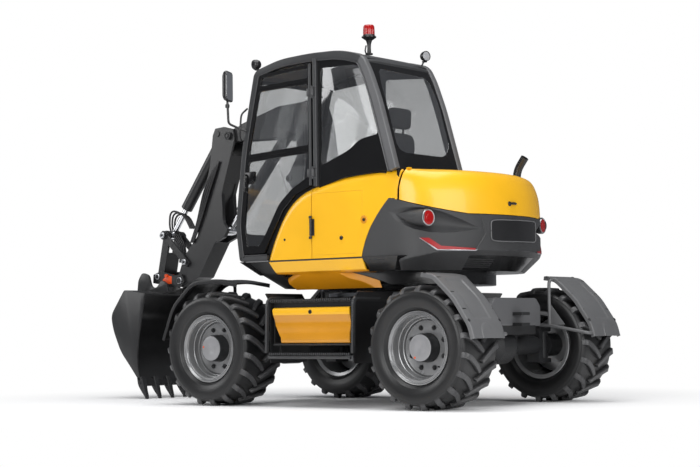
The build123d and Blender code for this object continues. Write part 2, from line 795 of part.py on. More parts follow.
cab = from_left(cab_face, cab_outer_y, cab_width)
cab -= from_left(grown(cab_points, -cab_wall), cab_outer_y - cab_wall, cab_width - 2 * cab_wall)
door_points = [
    (30, 2800),
    (600, 2762),
    (762, 2150),
    (830, 1500),
    (800, 1262),
    (560, 1262),
    (455, 1440),
    (350, 1610),
    (215, 1730),
    (30, 1800),
]
cab -= from_left(outline(door_points), cab_outer_y + 1, cab_wall + 2)
side_window = [
    (-45, 2770),
    (-45, 1945),
    (-230, 2010),
    (-350, 2060),
    (-440, 2145),
    (-665, 2160),
    (-535, 2560),
    (-475, 2700),
]
right_window = [(560, 2740), (740, 2100), (800, 1500), (40, 1500), (40, 2770)]
right_rear_window = [(-40, 2770), (-40, 1760), (-700, 1960), (-535, 2560), (-470, 2720)]
cab -= from_left(outline(side_window), cab_outer_y + 1, cab_wall + 2)
for window in (right_window, right_rear_window):
    cab -= from_left(outline(window), cab_inner_y + cab_wall + 1, cab_wall + 2)
cab -= block((500, cab_inner_y + 80, 1420), (1000, cab_outer_y - 80, 2740))
cab -= block((-1000, cab_inner_y + 90, 2010), (-420, cab_outer_y - 90, 2700))
recess = [(524, deck_top - 1)] + panel_edge + [(-900, 1878), (-900, deck_top - 1)]
cab -= from_left(grown(recess, seam_gap), cab_outer_y + 1, 2 + panel_thickness + 0.3)
# Door hinges: pins on the middle pillar, turning in knuckles on the door's straps
door_pin = (8, cab_outer_y + knuckle_radius + 2)
door_hinge_heights = [1900, 2560]
door_thickness = cab_wall - 12
door = from_left(grown(door_points, -door_gap), cab_outer_y - 1, door_thickness)
door -= from_left(grown(door_points, -door_gap - 42), cab_outer_y - 1, door_thickness)
bars = []
for rear_z, front_z, depth in ((2120, 2078, 36), (2668, 2650, 28)):
    bar = outline([(30, rear_z), (30, rear_z - depth), (800, front_z - depth), (800, front_z)])
    bars.append(from_left(bar, cab_outer_y - 1, door_thickness))
door_inside = from_left(grown(door_points, -door_gap - 1), cab_outer_y - 1, door_thickness)
door += Compound(children=bars) & door_inside
for z in door_hinge_heights:
    cab += rod((*door_pin, z - 50), (*door_pin, z + 50), hinge_pin_radius)
    for low in (z - 50, z + 35):
        cab += block((door_pin[0] - 25, cab_outer_y - 1, low), (door_pin[0] + 8, door_pin[1] + 8, low + 15))
    door += rod((*door_pin, z - 32), (*door_pin, z + 32), knuckle_radius)
    door += block((door_pin[0] + 4, cab_outer_y + 1, z - 32), (door_pin[0] + 70, cab_outer_y + 8, z + 32))
    door += block((door_pin[0] + 40, cab_outer_y - 10, z - 32), (door_pin[0] + 70, cab_outer_y + 8, z + 32))
    door -= rod((*door_pin, z - 60), (*door_pin, z + 60), hinge_pin_radius + running_clearance)
for y in hood_hinge_places:
    cab += shaft(hood_pin, y, 96, hinge_pin_radius)
    for side in (1, -1):
        low, high = sorted((y + side * 34, y + side * 48))
        cab += block((hood_pin[0] - 10, low, hood_pin[1] - 14), (cab_rear + 2, high, hood_pin[1] + 14))
save_upper("cab_frame", cab)
save_upper("cab_door", door)
door_pane = grown(door_points, -door_gap - 24)
save_upper("door_glass", from_left(door_pane, cab_outer_y - 1 - door_thickness - 0.3, glass_thickness))

# Cab glass lies against the inner side of the walls
overlap = 14
right_pane_y = cab_inner_y + cab_wall + 0.3 + glass_thickness
panes = [
    from_left(grown(side_window, overlap), cab_outer_y - cab_wall - 0.3, glass_thickness),
    from_left(grown(right_window, overlap), right_pane_y, glass_thickness),
    from_left(grown(right_rear_window, overlap), right_pane_y, glass_thickness),
]
pane_low = cab_inner_y + cab_wall + 10
pane_high = cab_outer_y - cab_wall - 10
band_shell = grown(cab_points, -cab_wall - 0.3) - grown(cab_points, -cab_wall - 0.3 - glass_thickness)
pane_band = from_left(band_shell, pane_high, pane_high - pane_low)
panes.append(pane_band & block((550, 0, 1400), (1000, 1000, 2750)))
panes.append(pane_band & block((-1000, 0, 1990), (-400, 1000, 2715)))
save_upper("cab_glass", Compound(children=panes))

# Seat and controls inside the cab
floor_z = deck_top + cab_wall
seat_y = cab_middle + 20
seat = block((-430, seat_y - 190, floor_z), (-30, seat_y + 190, 1490))
seat += side_slab([(-460, 1481), (60, 1481), (90, 1520), (70, 1600), (-400, 1590)], seat_y, 480)
seat += side_slab([(-430, 1570), (-330, 1570), (-450, 2230), (-560, 2230), (-520, 1900)], seat_y, 440)
seat += side_slab([(-470, 2250), (-570, 2250), (-580, 2420), (-490, 2420)], seat_y, 260)
for side in (1, -1):
    seat += rod((-512, seat_y + side * 60, 2180), (-530, seat_y + side * 60, 2280), 8)
save_upper("cab_seat", seat)
controls = []
for side in (1, -1):
    y = seat_y + side * 300
    console = block((-330, y - 55, floor_z), (110, y + 55, 1700))
    console += rod((40, y, 1690), (60, y, 1860), 12)
    console += Pos(62, y, 1880) * Cone(18, 28, 50)
    controls.append(console)
column = side_slab([(350, floor_z), (480, floor_z), (375, 1815), (300, 1795)], seat_y, 90)
wheel_plane = Plane(origin=(325, seat_y, 1800), x_dir=(0, 1, 0), z_dir=(-0.45, 0, 1))
column += wheel_plane * (Cylinder(182, 24) - Cylinder(158, 24))
column += wheel_plane * Box(330, 24, 12)
controls.append(column)
save_upper("cab_controls", Compound(children=controls))

# Lamps, beacon and mirror on the cab


def roof_z(x):
    """Height of the cab's roof at a place along it."""
    for (x1, z1), (x0, z0) in zip(cab_points[3:], cab_points[4:8]):
        if x0 <= x <= x1:
            return z0 + (z1 - z0) * (x - x0) / (x1 - x0)
    return cab_points[3][1]


beacon_x, beacon_y = -300, 600
beacon_z = roof_z(beacon_x)
beacon = rod((beacon_x, beacon_y, beacon_z), (beacon_x, beacon_y, beacon_z + 140), 16)
beacon += Pos(beacon_x, beacon_y, beacon_z + 8) * Cylinder(45, 12)
beacon += Pos(beacon_x, beacon_y, beacon_z + 145) * Cone(52, 64, 40)
beacon += Pos(beacon_x, beacon_y, beacon_z + 200) * Cylinder(46, 80)
beacon += Pos(beacon_x, beacon_y, beacon_z + 255) * Cone(46, 26, 30)
save_upper("beacon", beacon - cab)
lamp_front = rod((640, 890, roof_z(640) + 2), (660, 890, 2850), 10)
lamp_front += Pos(672, 890, 2862) * Rot(0, 90, 0) * Cylinder(42, 56)
lamp_rear = rod((-470, 120, roof_z(-470) + 3), (-500, 120, 2880), 10)
lamp_rear += Pos(-510, 120, 2892) * Rot(0, 90, 0) * Cylinder(42, 60)
save_upper("work_lamps", Compound(children=[lamp_front - cab, lamp_rear - cab]))
mirror_piece = tube_path([(745, cab_outer_y, 2300), (890, 1010, 2360), (905, 1010, 2640)], 10, 40)
mirror_piece += side_slab([(880, 2560), (930, 2560), (930, 2810), (880, 2810)], 1010, 170, 12)
save_upper("mirror", mirror_piece - cab)
pipe = tube_path([(*pipe_place, 1720), (*pipe_place, 1960), (-1030, -560, 2050)], pipe_radius, 60)
save_upper("exhaust_pipe", pipe)
lamps = []
for side in (1, -1):
    lamps.append(Pos(-1028, side * 820, 1490) * Rot(0, 90, 0) * Cylinder(62, 60))
save_upper("tail_lamps", Compound(children=lamps) - tail_body)


# Arm pieces: side outlines drawn about their pins
def boss(pin, radius, width):
    """A round boss for a pin, across the arm."""
    return shaft(pin, arm_y, width, radius)


def bored(shape, pin):
    """Open the hole for a pin that belongs to the neighbouring piece."""
    return shape - shaft(pin, arm_y, 1000, pin_radius + running_clearance)


def rings(pin, radius, inner_half, outer_half):
    """A pair of bosses that fill the room between an eye and the plates beside it."""
    pieces = []
    for side in (1, -1):
        middle = arm_y + side * (inner_half + outer_half) / 2
        pieces.append(shaft(pin, middle, outer_half - inner_half, radius))
    return pieces


def beside_all(start, end, offsets):
    """Outline points from pairs of (along, aside) distances."""
    return [beside(start, end, along, aside) for along, aside in offsets]


eye_width = ram_slot - 12
eye_half = eye_width / 2
boom_inner = boom_width - 2 * boom_plate
# Lower boom: two plates joined by a web at the back and one low at the front
boom_offsets = [
    (-85, 60),
    (-85, -60),
    (300, -95),
    (640, -150),
    (900, -165),
    (1490, -95),
    (1515, 60),
    (1300, 110),
    (300, 120),
]
boom = side_slab(beside_all(foot_pin, elbow_pin, boom_offsets), arm_y, boom_width, 30)
core_offsets = [(250, -400), (250, 95), (1290, 85), (1700, 85), (1700, -400)]
boom -= side_slab(beside_all(foot_pin, elbow_pin, core_offsets), arm_y, boom_inner)
web_offsets = [(290, -93), (620, -146), (620, -128), (290, -75)]
boom += side_slab(beside_all(foot_pin, elbow_pin, web_offsets), arm_y, boom_inner + 2)
for side in (1, -1):
    ear = [
        beside(foot_pin, elbow_pin, 620, -140),
        (lift_head_pin[0] + 10, lift_head_pin[1] - 55),
        (lift_head_pin[0] + 50, lift_head_pin[1]),
        (lift_head_pin[0] + 10, lift_head_pin[1] + 50),
        beside(foot_pin, elbow_pin, 1050, -140),
    ]
    boom += side_slab(ear, arm_y + side * (boom_width - boom_plate) / 2, boom_plate)
boom += rings(lift_head_pin, 42, eye_half + 5, boom_inner / 2)
boom += rings(jib_ram_foot_pin, 42, eye_half + 5, boom_inner / 2)
boom += boss(elbow_pin, pin_radius, boom_width + 24)
boom += boss(jib_ram_foot_pin, pin_radius, boom_width + 8)
boom = bored(boom, foot_pin)
save_upper("lower_boom", boom)

# Jib: a deep beam from the elbow that narrows to a tongue inside the dipper's fork
jib_length = hypot(jib_tip_pin[0] - elbow_pin[0], jib_tip_pin[1] - elbow_pin[1])
tongue_start = jib_length - 160
jib_offsets = [
    (-85, -40),
    (-40, 85),
    (330, 125),
    (tongue_start, 72),
    (jib_length + 30, 50),
    (jib_length + 62, 0),
    (jib_length + 30, -52),
    (tongue_start, -78),
    (400, -150),
    (60, -90),
]
jib = side_slab(beside_all(elbow_pin, jib_tip_pin, jib_offsets), arm_y, jib_width, 18)
jib += boss(elbow_pin, 72, boom_inner - 2 * fork_gap)
dipper_plate = 22
tongue_width = dipper_width - 2 * dipper_plate - 2 * fork_gap
tongue_cut = beside_all(
    elbow_pin, jib_tip_pin, [(tongue_start, 300), (1300, 300), (1300, -300), (tongue_start, -300)]
)
for side in (1, -1):
    jib -= side_slab(tongue_cut, arm_y + side * (tongue_width + jib_width) / 2, jib_width)
slot_end = tongue_start - 20
slot_offsets = [(92, 10), (300, 10), (330, -50), (slot_end, -50), (slot_end, -400), (92, -400)]
jib -= side_slab(beside_all(elbow_pin, jib_tip_pin, slot_offsets), arm_y, ram_slot)
cheek = (jib_width - ram_slot) / 2
for pin in (jib_ram_head_pin, crowd_foot_pin):
    for side in (1, -1):
        ear = [
            (pin[0] - 62, pin[1] + 80),
            (pin[0] - 50, pin[1] - 30),
            (pin[0], pin[1] - 58),
            (pin[0] + 50, pin[1] - 30),
            (pin[0] + 62, pin[1] + 80),
        ]
        jib += side_slab(ear, arm_y + side * (ram_slot + cheek) / 2, cheek)
jib += boss(jib_tip_pin, pin_radius, dipper_width + 24)
jib += boss(crowd_foot_pin, pin_radius, jib_width + 16)
jib = bored(jib, elbow_pin)
save_upper("jib", jib)

# Dipper: a box beam with a fork at the top and a bracket for the crowd cylinder behind
dipper_outline = [
    (jib_tip_pin[0] - 72, jib_tip_pin[1] - 30),
    (jib_tip_pin[0] - 50, jib_tip_pin[1] + 62),
    (jib_tip_pin[0] + 60, jib_tip_pin[1] + 90),
    (bucket_ram_foot_pin[0] + 30, bucket_ram_foot_pin[1] + 52),
    (bucket_ram_foot_pin[0] + 62, bucket_ram_foot_pin[1] - 10),
    (2118, 2180),
    (2255, 1700),
    (2285, 1520),
    (rocker_pin[0] + 40, rocker_pin[1] + 50),
    (dipper_end_pin[0] + 62, dipper_end_pin[1] - 10),
    (dipper_end_pin[0], dipper_end_pin[1] - 64),
    (dipper_end_pin[0] - 75, dipper_end_pin[1] - 30),
    (2270, 1130),
    (2060, 1450),
    (crowd_head_pin[0] - 20, crowd_head_pin[1] - 62),
    (crowd_head_pin[0] - 66, crowd_head_pin[1] + 10),
    (crowd_head_pin[0] - 10, crowd_head_pin[1] + 75),
    (1975, 1900),
]
dipper = side_slab(dipper_outline, arm_y, dipper_width, 12)
top_fork = [(1760, 2300), (1760, 2650), (2300, 2650), (2300, 2130), (2100, 2130), (1960, 2200)]
dipper -= side_slab(top_fork, arm_y, dipper_width - 2 * dipper_plate)
low_fork = [(1800, 1400), (1800, 2000), (1950, 2000), (2040, 1760), (2085, 1600), (2070, 1470), (2010, 1400)]
dipper -= side_slab(low_fork, arm_y, ram_slot)
dipper += boss(bucket_ram_foot_pin, pin_radius, dipper_width + 16)
dipper += rings(bucket_ram_foot_pin, 42, eye_half + 5, dipper_width / 2 - dipper_plate)
dipper += boss(rocker_pin, pin_radius, dipper_width + 2 * (fork_gap + rocker_plate) + 20)
dipper += boss(dipper_end_pin, pin_radius, dipper_width + 80)
dipper = bored(dipper, jib_tip_pin)
save_upper("dipper", dipper)

# Bucket linkage: two rockers outside the dipper and one link down to the coupler
rocker_length = hypot(link_top_pin[0] - rocker_pin[0], link_top_pin[1] - rocker_pin[1])
rocker_offsets = [(-45, -30), (-45, 30), (rocker_length + 45, 30), (rocker_length + 45, -30)]
link_half = link_width / 2
rocker_half = dipper_width / 2 + fork_gap
rockers = []
for side in (1, -1):
    y = arm_y + side * (rocker_half + rocker_plate / 2)
    plate = side_slab(beside_all(rocker_pin, link_top_pin, rocker_offsets), y, rocker_plate, 20)
    boss_low = link_half + fork_gap
    boss_high = rocker_half + rocker_plate + 8
    plate += shaft(link_top_pin, arm_y + side * (boss_low + boss_high) / 2, boss_high - boss_low, 42)
    rockers.append(bored(plate, rocker_pin))
save_upper("rocker_links", Compound(children=rockers))

link_length = hypot(link_low_pin[0] - link_top_pin[0], link_low_pin[1] - link_top_pin[1])
link_offsets = [(-46, -40), (-46, 40), (link_length + 46, 40), (link_length + 46, -40)]
link = side_slab(beside_all(link_top_pin, link_low_pin, link_offsets), arm_y, link_width, 30)
link_cut = [(-100, -120), (-100, 120), (170, 120), (170, -120)]
link -= side_slab(beside_all(link_top_pin, link_low_pin, link_cut), arm_y, ram_slot)
link = bored(link, link_low_pin)
save_upper("coupler_link", link)

# Quick coupler: two plates outside the dipper's end, with the bar that locks the bucket
coupler_plate = 24
coupler_outline = [
    (dipper_end_pin[0] - 60, dipper_end_pin[1] - 10),
    (dipper_end_pin[0] - 30, dipper_end_pin[1] + 60),
    (dipper_end_pin[0] + 60, dipper_end_pin[1] + 50),
    (link_low_pin[0] - 40, link_low_pin[1] + 50),
    (link_low_pin[0] + 55, link_low_pin[1] + 20),
    (link_low_pin[0] + 60, link_low_pin[1] - 60),
    (dipper_end_pin[0] + 10, dipper_end_pin[1] - 65),
]
coupler = boss(link_low_pin, pin_radius, 2 * (rocker_half + coupler_plate) + 10)
for side in (1, -1):
    y = arm_y + side * (rocker_half + coupler_plate / 2)
    coupler += side_slab(coupler_outline, y, coupler_plate, 10)
    washer = rocker_half - link_half - fork_gap
    coupler += shaft(link_low_pin, arm_y + side * (link_half + fork_gap + rocker_half) / 2, washer, 40)
coupler += block(
    (dipper_end_pin[0] + 120, arm_y - rocker_half - 4, dipper_end_pin[1] - 50),
    (link_low_pin[0] - 10, arm_y + rocker_half + 4, dipper_end_pin[1] - 26),
)
coupler = bored(coupler, dipper_end_pin)
save_upper("quick_coupler", coupler)

# Bucket: a rolled shell with side plates, ears, lip and teeth
bucket_profile = [
    (2660, 900),
    (2640, 985),
    (2910, 1020),
    (3095, 790),
    (3060, 640),
    (2960, 440),
    (2840, 310),
    (2720, 165),
    (2700, 175),
    (2735, 420),
]
bucket = side_slab(bucket_profile, arm_y, bucket_width)
bucket_inside = [
    (2600, 890),
    (2665, 900),
    (2658, 968),
    (2902, 1002),
    (3078, 786),
    (3046, 646),
    (2948, 448),
    (2830, 322),
    (2716, 184),
    (2600, 150),
]
bucket -= side_slab(bucket_inside, arm_y, bucket_width - 2 * side_wall)
ears = []
ear_plate = 26
for side in (1, -1):
    y = arm_y + side * (rocker_half + coupler_plate + 0.3 + ear_plate / 2)
    ear = side_slab(
        [
            (2590, 1000),
            (2610, 1085),
            (2680, 1115),
            (2745, 1040),
            (2815, 1050),
            (2850, 1165),
            (2935, 1192),
            (2990, 1120),
            (3010, 920),
            (2900, 1010),
            (2640, 975),
        ],
        y,
        ear_plate,
    )
    bucket += ear
lip = side_slab([(2700, 175), (2728, 165), (2700, 120), (2680, 128)], arm_y, bucket_width)
bucket += lip
tooth_points = [(2716, 196), (2672, 176), (2633, 0), (2650, 2), (2700, 110), (2736, 150)]
pitch = (bucket_width - tooth_width) / (tooth_count - 1)
for index in range(tooth_count):
    y = arm_y - bucket_width / 2 + tooth_width / 2 + index * pitch
    bucket += side_slab(tooth_points, y, tooth_width)
save_upper("bucket", bucket)

# Cylinders. Columns: name, foot pin, head pin, barrel radius, rod radius, barrel length and the
# rod's inner end, both measured from the foot pin
rams = [
    ("lift", lift_foot_pin, lift_head_pin, 55, 28, 510, 420),
    ("jib_ram", jib_ram_foot_pin, jib_ram_head_pin, 50, 27, 660, 400),
    ("crowd", crowd_foot_pin, crowd_head_pin, 54, 28, 880, 400),
    ("bucket_ram", bucket_ram_foot_pin, link_top_pin, 55, 27, 834, 330),
]
for name, foot, head, barrel_radius, rod_radius, barrel_length, rod_inner_end in rams:
    start = toward(foot, head, 30)
    end = toward(foot, head, barrel_length)
    barrel = rod((start[0], arm_y, start[1]), (end[0], arm_y, end[1]), barrel_radius)
    barrel -= boss(foot, 200, 3000) & boss(foot, eye_radius, 3000)
    barrel += boss(foot, eye_radius, eye_width)
    deep = toward(foot, head, 80)
    gap_end = toward(foot, head, barrel_length + 5)
    bore = rod((deep[0], arm_y, deep[1]), (gap_end[0], arm_y, gap_end[1]), rod_radius + running_clearance)
    save_upper(f"{name}_barrel", bored(barrel - bore, foot))
    rod_start = toward(foot, head, rod_inner_end)
    rod_end = toward(head, foot, 30)
    piston = rod((rod_start[0], arm_y, rod_start[1]), (rod_end[0], arm_y, rod_end[1]), rod_radius)
    piston += boss(head, eye_radius, eye_width)
    save_upper(f"{name}_rod", bored(piston, head))
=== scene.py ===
"""A compact wheeled excavator: yellow house, dark arm and cab, four steered tractor tyres."""

from math import radians

import bmesh
import bpy
import numpy as np
from mathutils import Matrix, Vector


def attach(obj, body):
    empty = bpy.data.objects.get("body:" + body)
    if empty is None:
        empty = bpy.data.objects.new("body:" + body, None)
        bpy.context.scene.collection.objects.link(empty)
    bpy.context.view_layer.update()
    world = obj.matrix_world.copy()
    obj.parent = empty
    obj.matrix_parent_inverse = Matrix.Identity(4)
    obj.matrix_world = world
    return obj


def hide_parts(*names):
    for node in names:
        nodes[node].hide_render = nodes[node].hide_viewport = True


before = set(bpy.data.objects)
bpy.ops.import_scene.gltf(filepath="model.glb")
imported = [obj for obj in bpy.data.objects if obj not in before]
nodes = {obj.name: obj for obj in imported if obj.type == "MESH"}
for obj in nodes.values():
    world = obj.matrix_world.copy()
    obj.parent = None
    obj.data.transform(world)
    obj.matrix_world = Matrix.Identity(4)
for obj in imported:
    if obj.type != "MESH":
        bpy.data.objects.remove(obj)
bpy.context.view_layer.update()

# The camera stands low behind the machine's left rear corner and looks slightly up at it.
# Its place is measured from the slewing axis, which the frame holds at slew_x.
slew_x = -0.730
camera_spot = Vector((-8.9477 + slew_x, 11.6642, 0.6271))
camera_right = Vector((-0.779767, -0.625966, -0.011417))
camera_up = Vector((-0.043626, 0.036135, 0.998394))
photo_width = 700
focal_pixels = 1725.54
camera_data = bpy.data.cameras.new("camera")
camera_data.sensor_width = 36
camera_data.lens = focal_pixels * 36 / photo_width
camera_data.clip_end = 200
camera = bpy.data.objects.new("camera", camera_data)
camera_back = camera_right.cross(camera_up)
turn = Matrix((camera_right, camera_up, camera_back)).transposed()
camera.matrix_world = Matrix.Translation(camera_spot) @ turn.to_4x4()
bpy.context.collection.objects.link(camera)
scene = bpy.context.scene
scene.camera = camera
scene.view_settings.view_transform = "Standard"


# The studio: one pale floor that fades into the white backdrop, and soft light boxes overhead and
# beside. The background shows white to the camera and through glass; the floor keeps the shadow.
def put_mesh(name, points, faces, material):
    """A new smooth mesh object from an (n, 3) array of points and an array or list of faces."""
    mesh = bpy.data.meshes.new(name)
    mesh.from_pydata(points.tolist(), [], faces.tolist() if isinstance(faces, np.ndarray) else faces)
    mesh.polygons.foreach_set("use_smooth", np.full(len(mesh.polygons), True))
    mesh.materials.append(material)
    mesh.update()
    piece = bpy.data.objects.new(name, mesh)
    bpy.context.collection.objects.link(piece)
    return piece


def new_material(name):
    """An empty node material; returns the material, its nodes, its links and its output."""
    material = bpy.data.materials.new(name)
    material.use_nodes = True
    tree = material.node_tree
    tree.nodes.clear()
    output = tree.nodes.new("ShaderNodeOutputMaterial")
    return material, tree.nodes, tree.links, output


def studio_floor_material():
    """A pale matt floor. Away from the machine it fades into the white of the backdrop."""
    material, parts, links, output = new_material("studio_floor")
    paint = parts.new("ShaderNodeBsdfDiffuse")
    paint.inputs["Color"].default_value = (0.93, 0.93, 0.935, 1)
    backdrop = parts.new("ShaderNodeEmission")
    backdrop.inputs["Color"].default_value = (1, 1, 1, 1)
    backdrop.inputs["Strength"].default_value = 1
    place = parts.new("ShaderNodeTexCoord")
    distance = parts.new("ShaderNodeVectorMath")
    distance.operation = "LENGTH"
    links.new(place.outputs["Object"], distance.inputs[0])
    fade = parts.new("ShaderNodeMapRange")
    fade.interpolation_type = "SMOOTHSTEP"
    fade.inputs["From Min"].default_value = 1.6
    fade.inputs["From Max"].default_value = 4.4
    links.new(distance.outputs["Value"], fade.inputs["Value"])
    seen = parts.new("ShaderNodeLightPath")
    shown = parts.new("ShaderNodeMath")
    shown.operation = "MAXIMUM"
    links.new(seen.outputs["Is Camera Ray"], shown.inputs[0])
    links.new(seen.outputs["Is Transmission Ray"], shown.inputs[1])
    share = parts.new("ShaderNodeMath")
    share.operation = "MULTIPLY"
    links.new(fade.outputs[0], share.inputs[0])
    links.new(shown.outputs[0], share.inputs[1])
    blend = parts.new("ShaderNodeMixShader")
    links.new(share.outputs[0], blend.inputs[0])
    links.new(paint.outputs[0], blend.inputs[1])
    links.new(backdrop.outputs[0], blend.inputs[2])
    links.new(blend.outputs[0], output.inputs["Surface"])
    return material


def floor_grid(across, along):
    """Points of a square sheet of floor, from two evenly spaced parameters."""
    u, v = np.meshgrid(np.linspace(-1, 1, across), np.linspace(-1, 1, along), indexing="ij")
    return np.stack([u * 40, v * 40, np.zeros_like(u)], -1).reshape(-1, 3)


def grid_faces(rows, columns, wrap_rows=False, wrap_columns=False):
    """Quads of a grid of points; a wrapped direction joins its last line to its first."""
    r = np.arange(rows if wrap_rows else rows - 1)
    c = np.arange(columns if wrap_columns else columns - 1)
    r, c = np.meshgrid(r, c, indexing="ij")
    r2, c2 = (r + 1) % rows, (c + 1) % columns
    quads = [r * columns + c, r2 * columns + c, r2 * columns + c2, r * columns + c2]
    return np.stack(quads, -1).reshape(-1, 4)


floor = put_mesh("floor", floor_grid(9, 9), grid_faces(9, 9), studio_floor_material())


def soft_light(name, spot, target, width, height, power):
    """One rectangular light box that faces its target."""
    data = bpy.data.lights.new(name, "AREA")
    data.shape = "RECTANGLE"
    data.size = width
    data.size_y = height
    data.energy = power
    lamp = bpy.data.objects.new(name, data)
    aim = (Vector(target) - Vector(spot)).to_track_quat("-Z", "Y")
    lamp.matrix_world = Matrix.Translation(spot) @ aim.to_matrix().to_4x4()
    bpy.context.collection.objects.link(lamp)
    return lamp


middle = (0, 0, 1.2)
soft_light("overhead_box", (-1.0, 1.0, 7.5), middle, 7, 7, 520)
soft_light("left_box", (-3.5, 8.0, 3.6), middle, 5, 4, 330)
soft_light("rear_box", (-8.5, 1.5, 3.2), middle, 4, 4, 210)
soft_light("front_box", (6.5, 4.0, 4.0), middle, 4, 4, 150)
world = bpy.data.worlds.new("studio_air")
scene.world = world
world.use_nodes = True
air = world.node_tree
air.nodes.clear()
air_output = air.nodes.new("ShaderNodeOutputWorld")
seen = air.nodes.new("ShaderNodeLightPath")
white = air.nodes.new("ShaderNodeBackground")
white.inputs["Color"].default_value = (1, 1, 1, 1)
white.inputs["Strength"].default_value = 1.0
fill = air.nodes.new("ShaderNodeBackground")
fill.inputs["Color"].default_value = (0.9, 0.93, 1, 1)
fill.inputs["Strength"].default_value = 0.15
shown = air.nodes.new("ShaderNodeMath")
shown.operation = "MAXIMUM"
air.links.new(seen.outputs["Is Camera Ray"], shown.inputs[0])
air.links.new(seen.outputs["Is Transmission Ray"], shown.inputs[1])
choice = air.nodes.new("ShaderNodeMixShader")
air.links.new(shown.outputs[0], choice.inputs[0])
air.links.new(fill.outputs[0], choice.inputs[1])
air.links.new(white.outputs[0], choice.inputs[2])
air.links.new(choice.outputs[0], air_output.inputs["Surface"])


# Undercarriage: a welded box frame with steps at its sides, cast axles and knuckles, moulded
# splash guards and the slew ring. The paint is sprayed, so its tone drifts a little over a
# panel, a fine skin breaks the gloss, and pressed edges catch the light.
def finish(
    name, color, roughness, metallic=0.0, coat=0.0, drift=0.05, grain=0.0, grain_size=0.002, edge=0.0
):
    """A node material: tone drift and gloss drift from one noise on Object coordinates, skin
    bump from a second, and edges rounded for the light by the Bevel node."""
    material, parts, links, output = new_material(name)
    shader = parts.new("ShaderNodeBsdfPrincipled")
    shader.inputs["Metallic"].default_value = metallic
    shader.inputs["Coat Weight"].default_value = coat
    shader.inputs["Coat Roughness"].default_value = 0.08
    place = parts.new("ShaderNodeTexCoord")
    cloud = parts.new("ShaderNodeTexNoise")
    cloud.inputs["Scale"].default_value = 2.3
    cloud.inputs["Detail"].default_value = 5
    links.new(place.outputs["Object"], cloud.inputs["Vector"])
    tone = parts.new("ShaderNodeValToRGB")
    tone.color_ramp.elements[0].position = 0.35
    tone.color_ramp.elements[1].position = 0.65
    low = [c * (1 - drift) for c in color]
    high = [min(c * (1 + drift), 1) for c in color]
    tone.color_ramp.elements[0].color = (*low, 1)
    tone.color_ramp.elements[1].color = (*high, 1)
    links.new(cloud.outputs[0], tone.inputs[0])
    links.new(tone.outputs[0], shader.inputs["Base Color"])
    gloss = parts.new("ShaderNodeMapRange")
    gloss.inputs["To Min"].default_value = roughness * 0.85
    gloss.inputs["To Max"].default_value = min(roughness * 1.15, 1)
    links.new(cloud.outputs[0], gloss.inputs["Value"])
    links.new(gloss.outputs[0], shader.inputs["Roughness"])
    normal = None
    if edge:
        rounding = parts.new("ShaderNodeBevel")
        rounding.samples = 4
        rounding.inputs["Radius"].default_value = edge
        normal = rounding.outputs[0]
    if grain:
        skin = parts.new("ShaderNodeTexNoise")
        skin.inputs["Scale"].default_value = 1 / grain_size
        skin.inputs["Detail"].default_value = 2
        links.new(place.outputs["Object"], skin.inputs["Vector"])
        bump = parts.new("ShaderNodeBump")
        bump.inputs["Strength"].default_value = grain
        bump.inputs["Distance"].default_value = grain_size
        links.new(skin.outputs[0], bump.inputs["Height"])
        if normal:
            links.new(normal, bump.inputs["Normal"])
        normal = bump.outputs[0]
    if normal:
        links.new(normal, shader.inputs["Normal"])
    links.new(shader.outputs[0], output.inputs["Surface"])
    return material


def coat_nodes(material, *names):
    """Give the CAD nodes of these names one finish on every material slot."""
    for name in names:
        for slot in nodes[name].material_slots:
            slot.material = material


charcoal = finish(
    "charcoal_paint", (0.017, 0.0172, 0.018), 0.34, drift=0.18, grain=0.15, grain_size=0.002, edge=0.003
)
casting = finish("casting", (0.016, 0.0165, 0.018), 0.5, drift=0.25, grain=0.5, grain_size=0.003)
black_moulding = finish(
    "black_moulding", (0.012, 0.012, 0.013), 0.4, drift=0.15, grain=0.2, grain_size=0.0015
)
steel = finish("bare_steel", (0.55, 0.56, 0.58), 0.3, metallic=1.0, drift=0.06)
coat_nodes(charcoal, "chassis_frame", "side_step_left", "side_step_right")
coat_nodes(casting, "axle_front", "axle_rear")
coat_nodes(casting, "knuckle_front_left", "knuckle_front_right", "knuckle_rear_left", "knuckle_rear_right")
coat_nodes(black_moulding, "splash_guards")
coat_nodes(steel, "slew_ring")


# Tractor tyres. Each is moulded rubber: a round-shouldered carcass with ribs round its
# sidewalls, and curved bars that meet in a chevron, their tops worn pale and grainy.
def eased(corners, rounds=3):
    """A corner line softened by corner cutting: each run keeps its points at a quarter and
    three quarters of its length, again and again, with both ends held."""
    line = np.array(corners, float)
    for _ in range(rounds):
        a, b = line[:-1], line[1:]
        cut = np.stack([0.75 * a + 0.25 * b, 0.25 * a + 0.75 * b], 1).reshape(-1, line.shape[1])
        line = np.concatenate([line[:1], cut, line[-1:]])
    return line


def turned(profile, steps, base, axis, closed=False):
    """A ring surface: each profile point (radius, reach) is carried round the axis, as
    base + axis times reach + radius times (cosine of the turn, sine of the turn)."""
    profile = np.asarray(profile, float)
    axis = np.asarray(axis, float) / np.linalg.norm(axis)
    first = np.cross(axis, (0.0, 0.0, 1.0) if abs(axis[2]) < 0.9 else (1.0, 0.0, 0.0))
    first /= np.linalg.norm(first)
    second = np.cross(axis, first)
    angle = np.linspace(0, 2 * np.pi, steps, endpoint=False)[None, :, None]
    spoke = np.cos(angle) * first + np.sin(angle) * second
    points = np.asarray(base) + profile[:, 1, None, None] * axis + profile[:, 0, None, None] * spoke
    return points.reshape(-1, 3), grid_faces(len(profile), steps, closed, True)


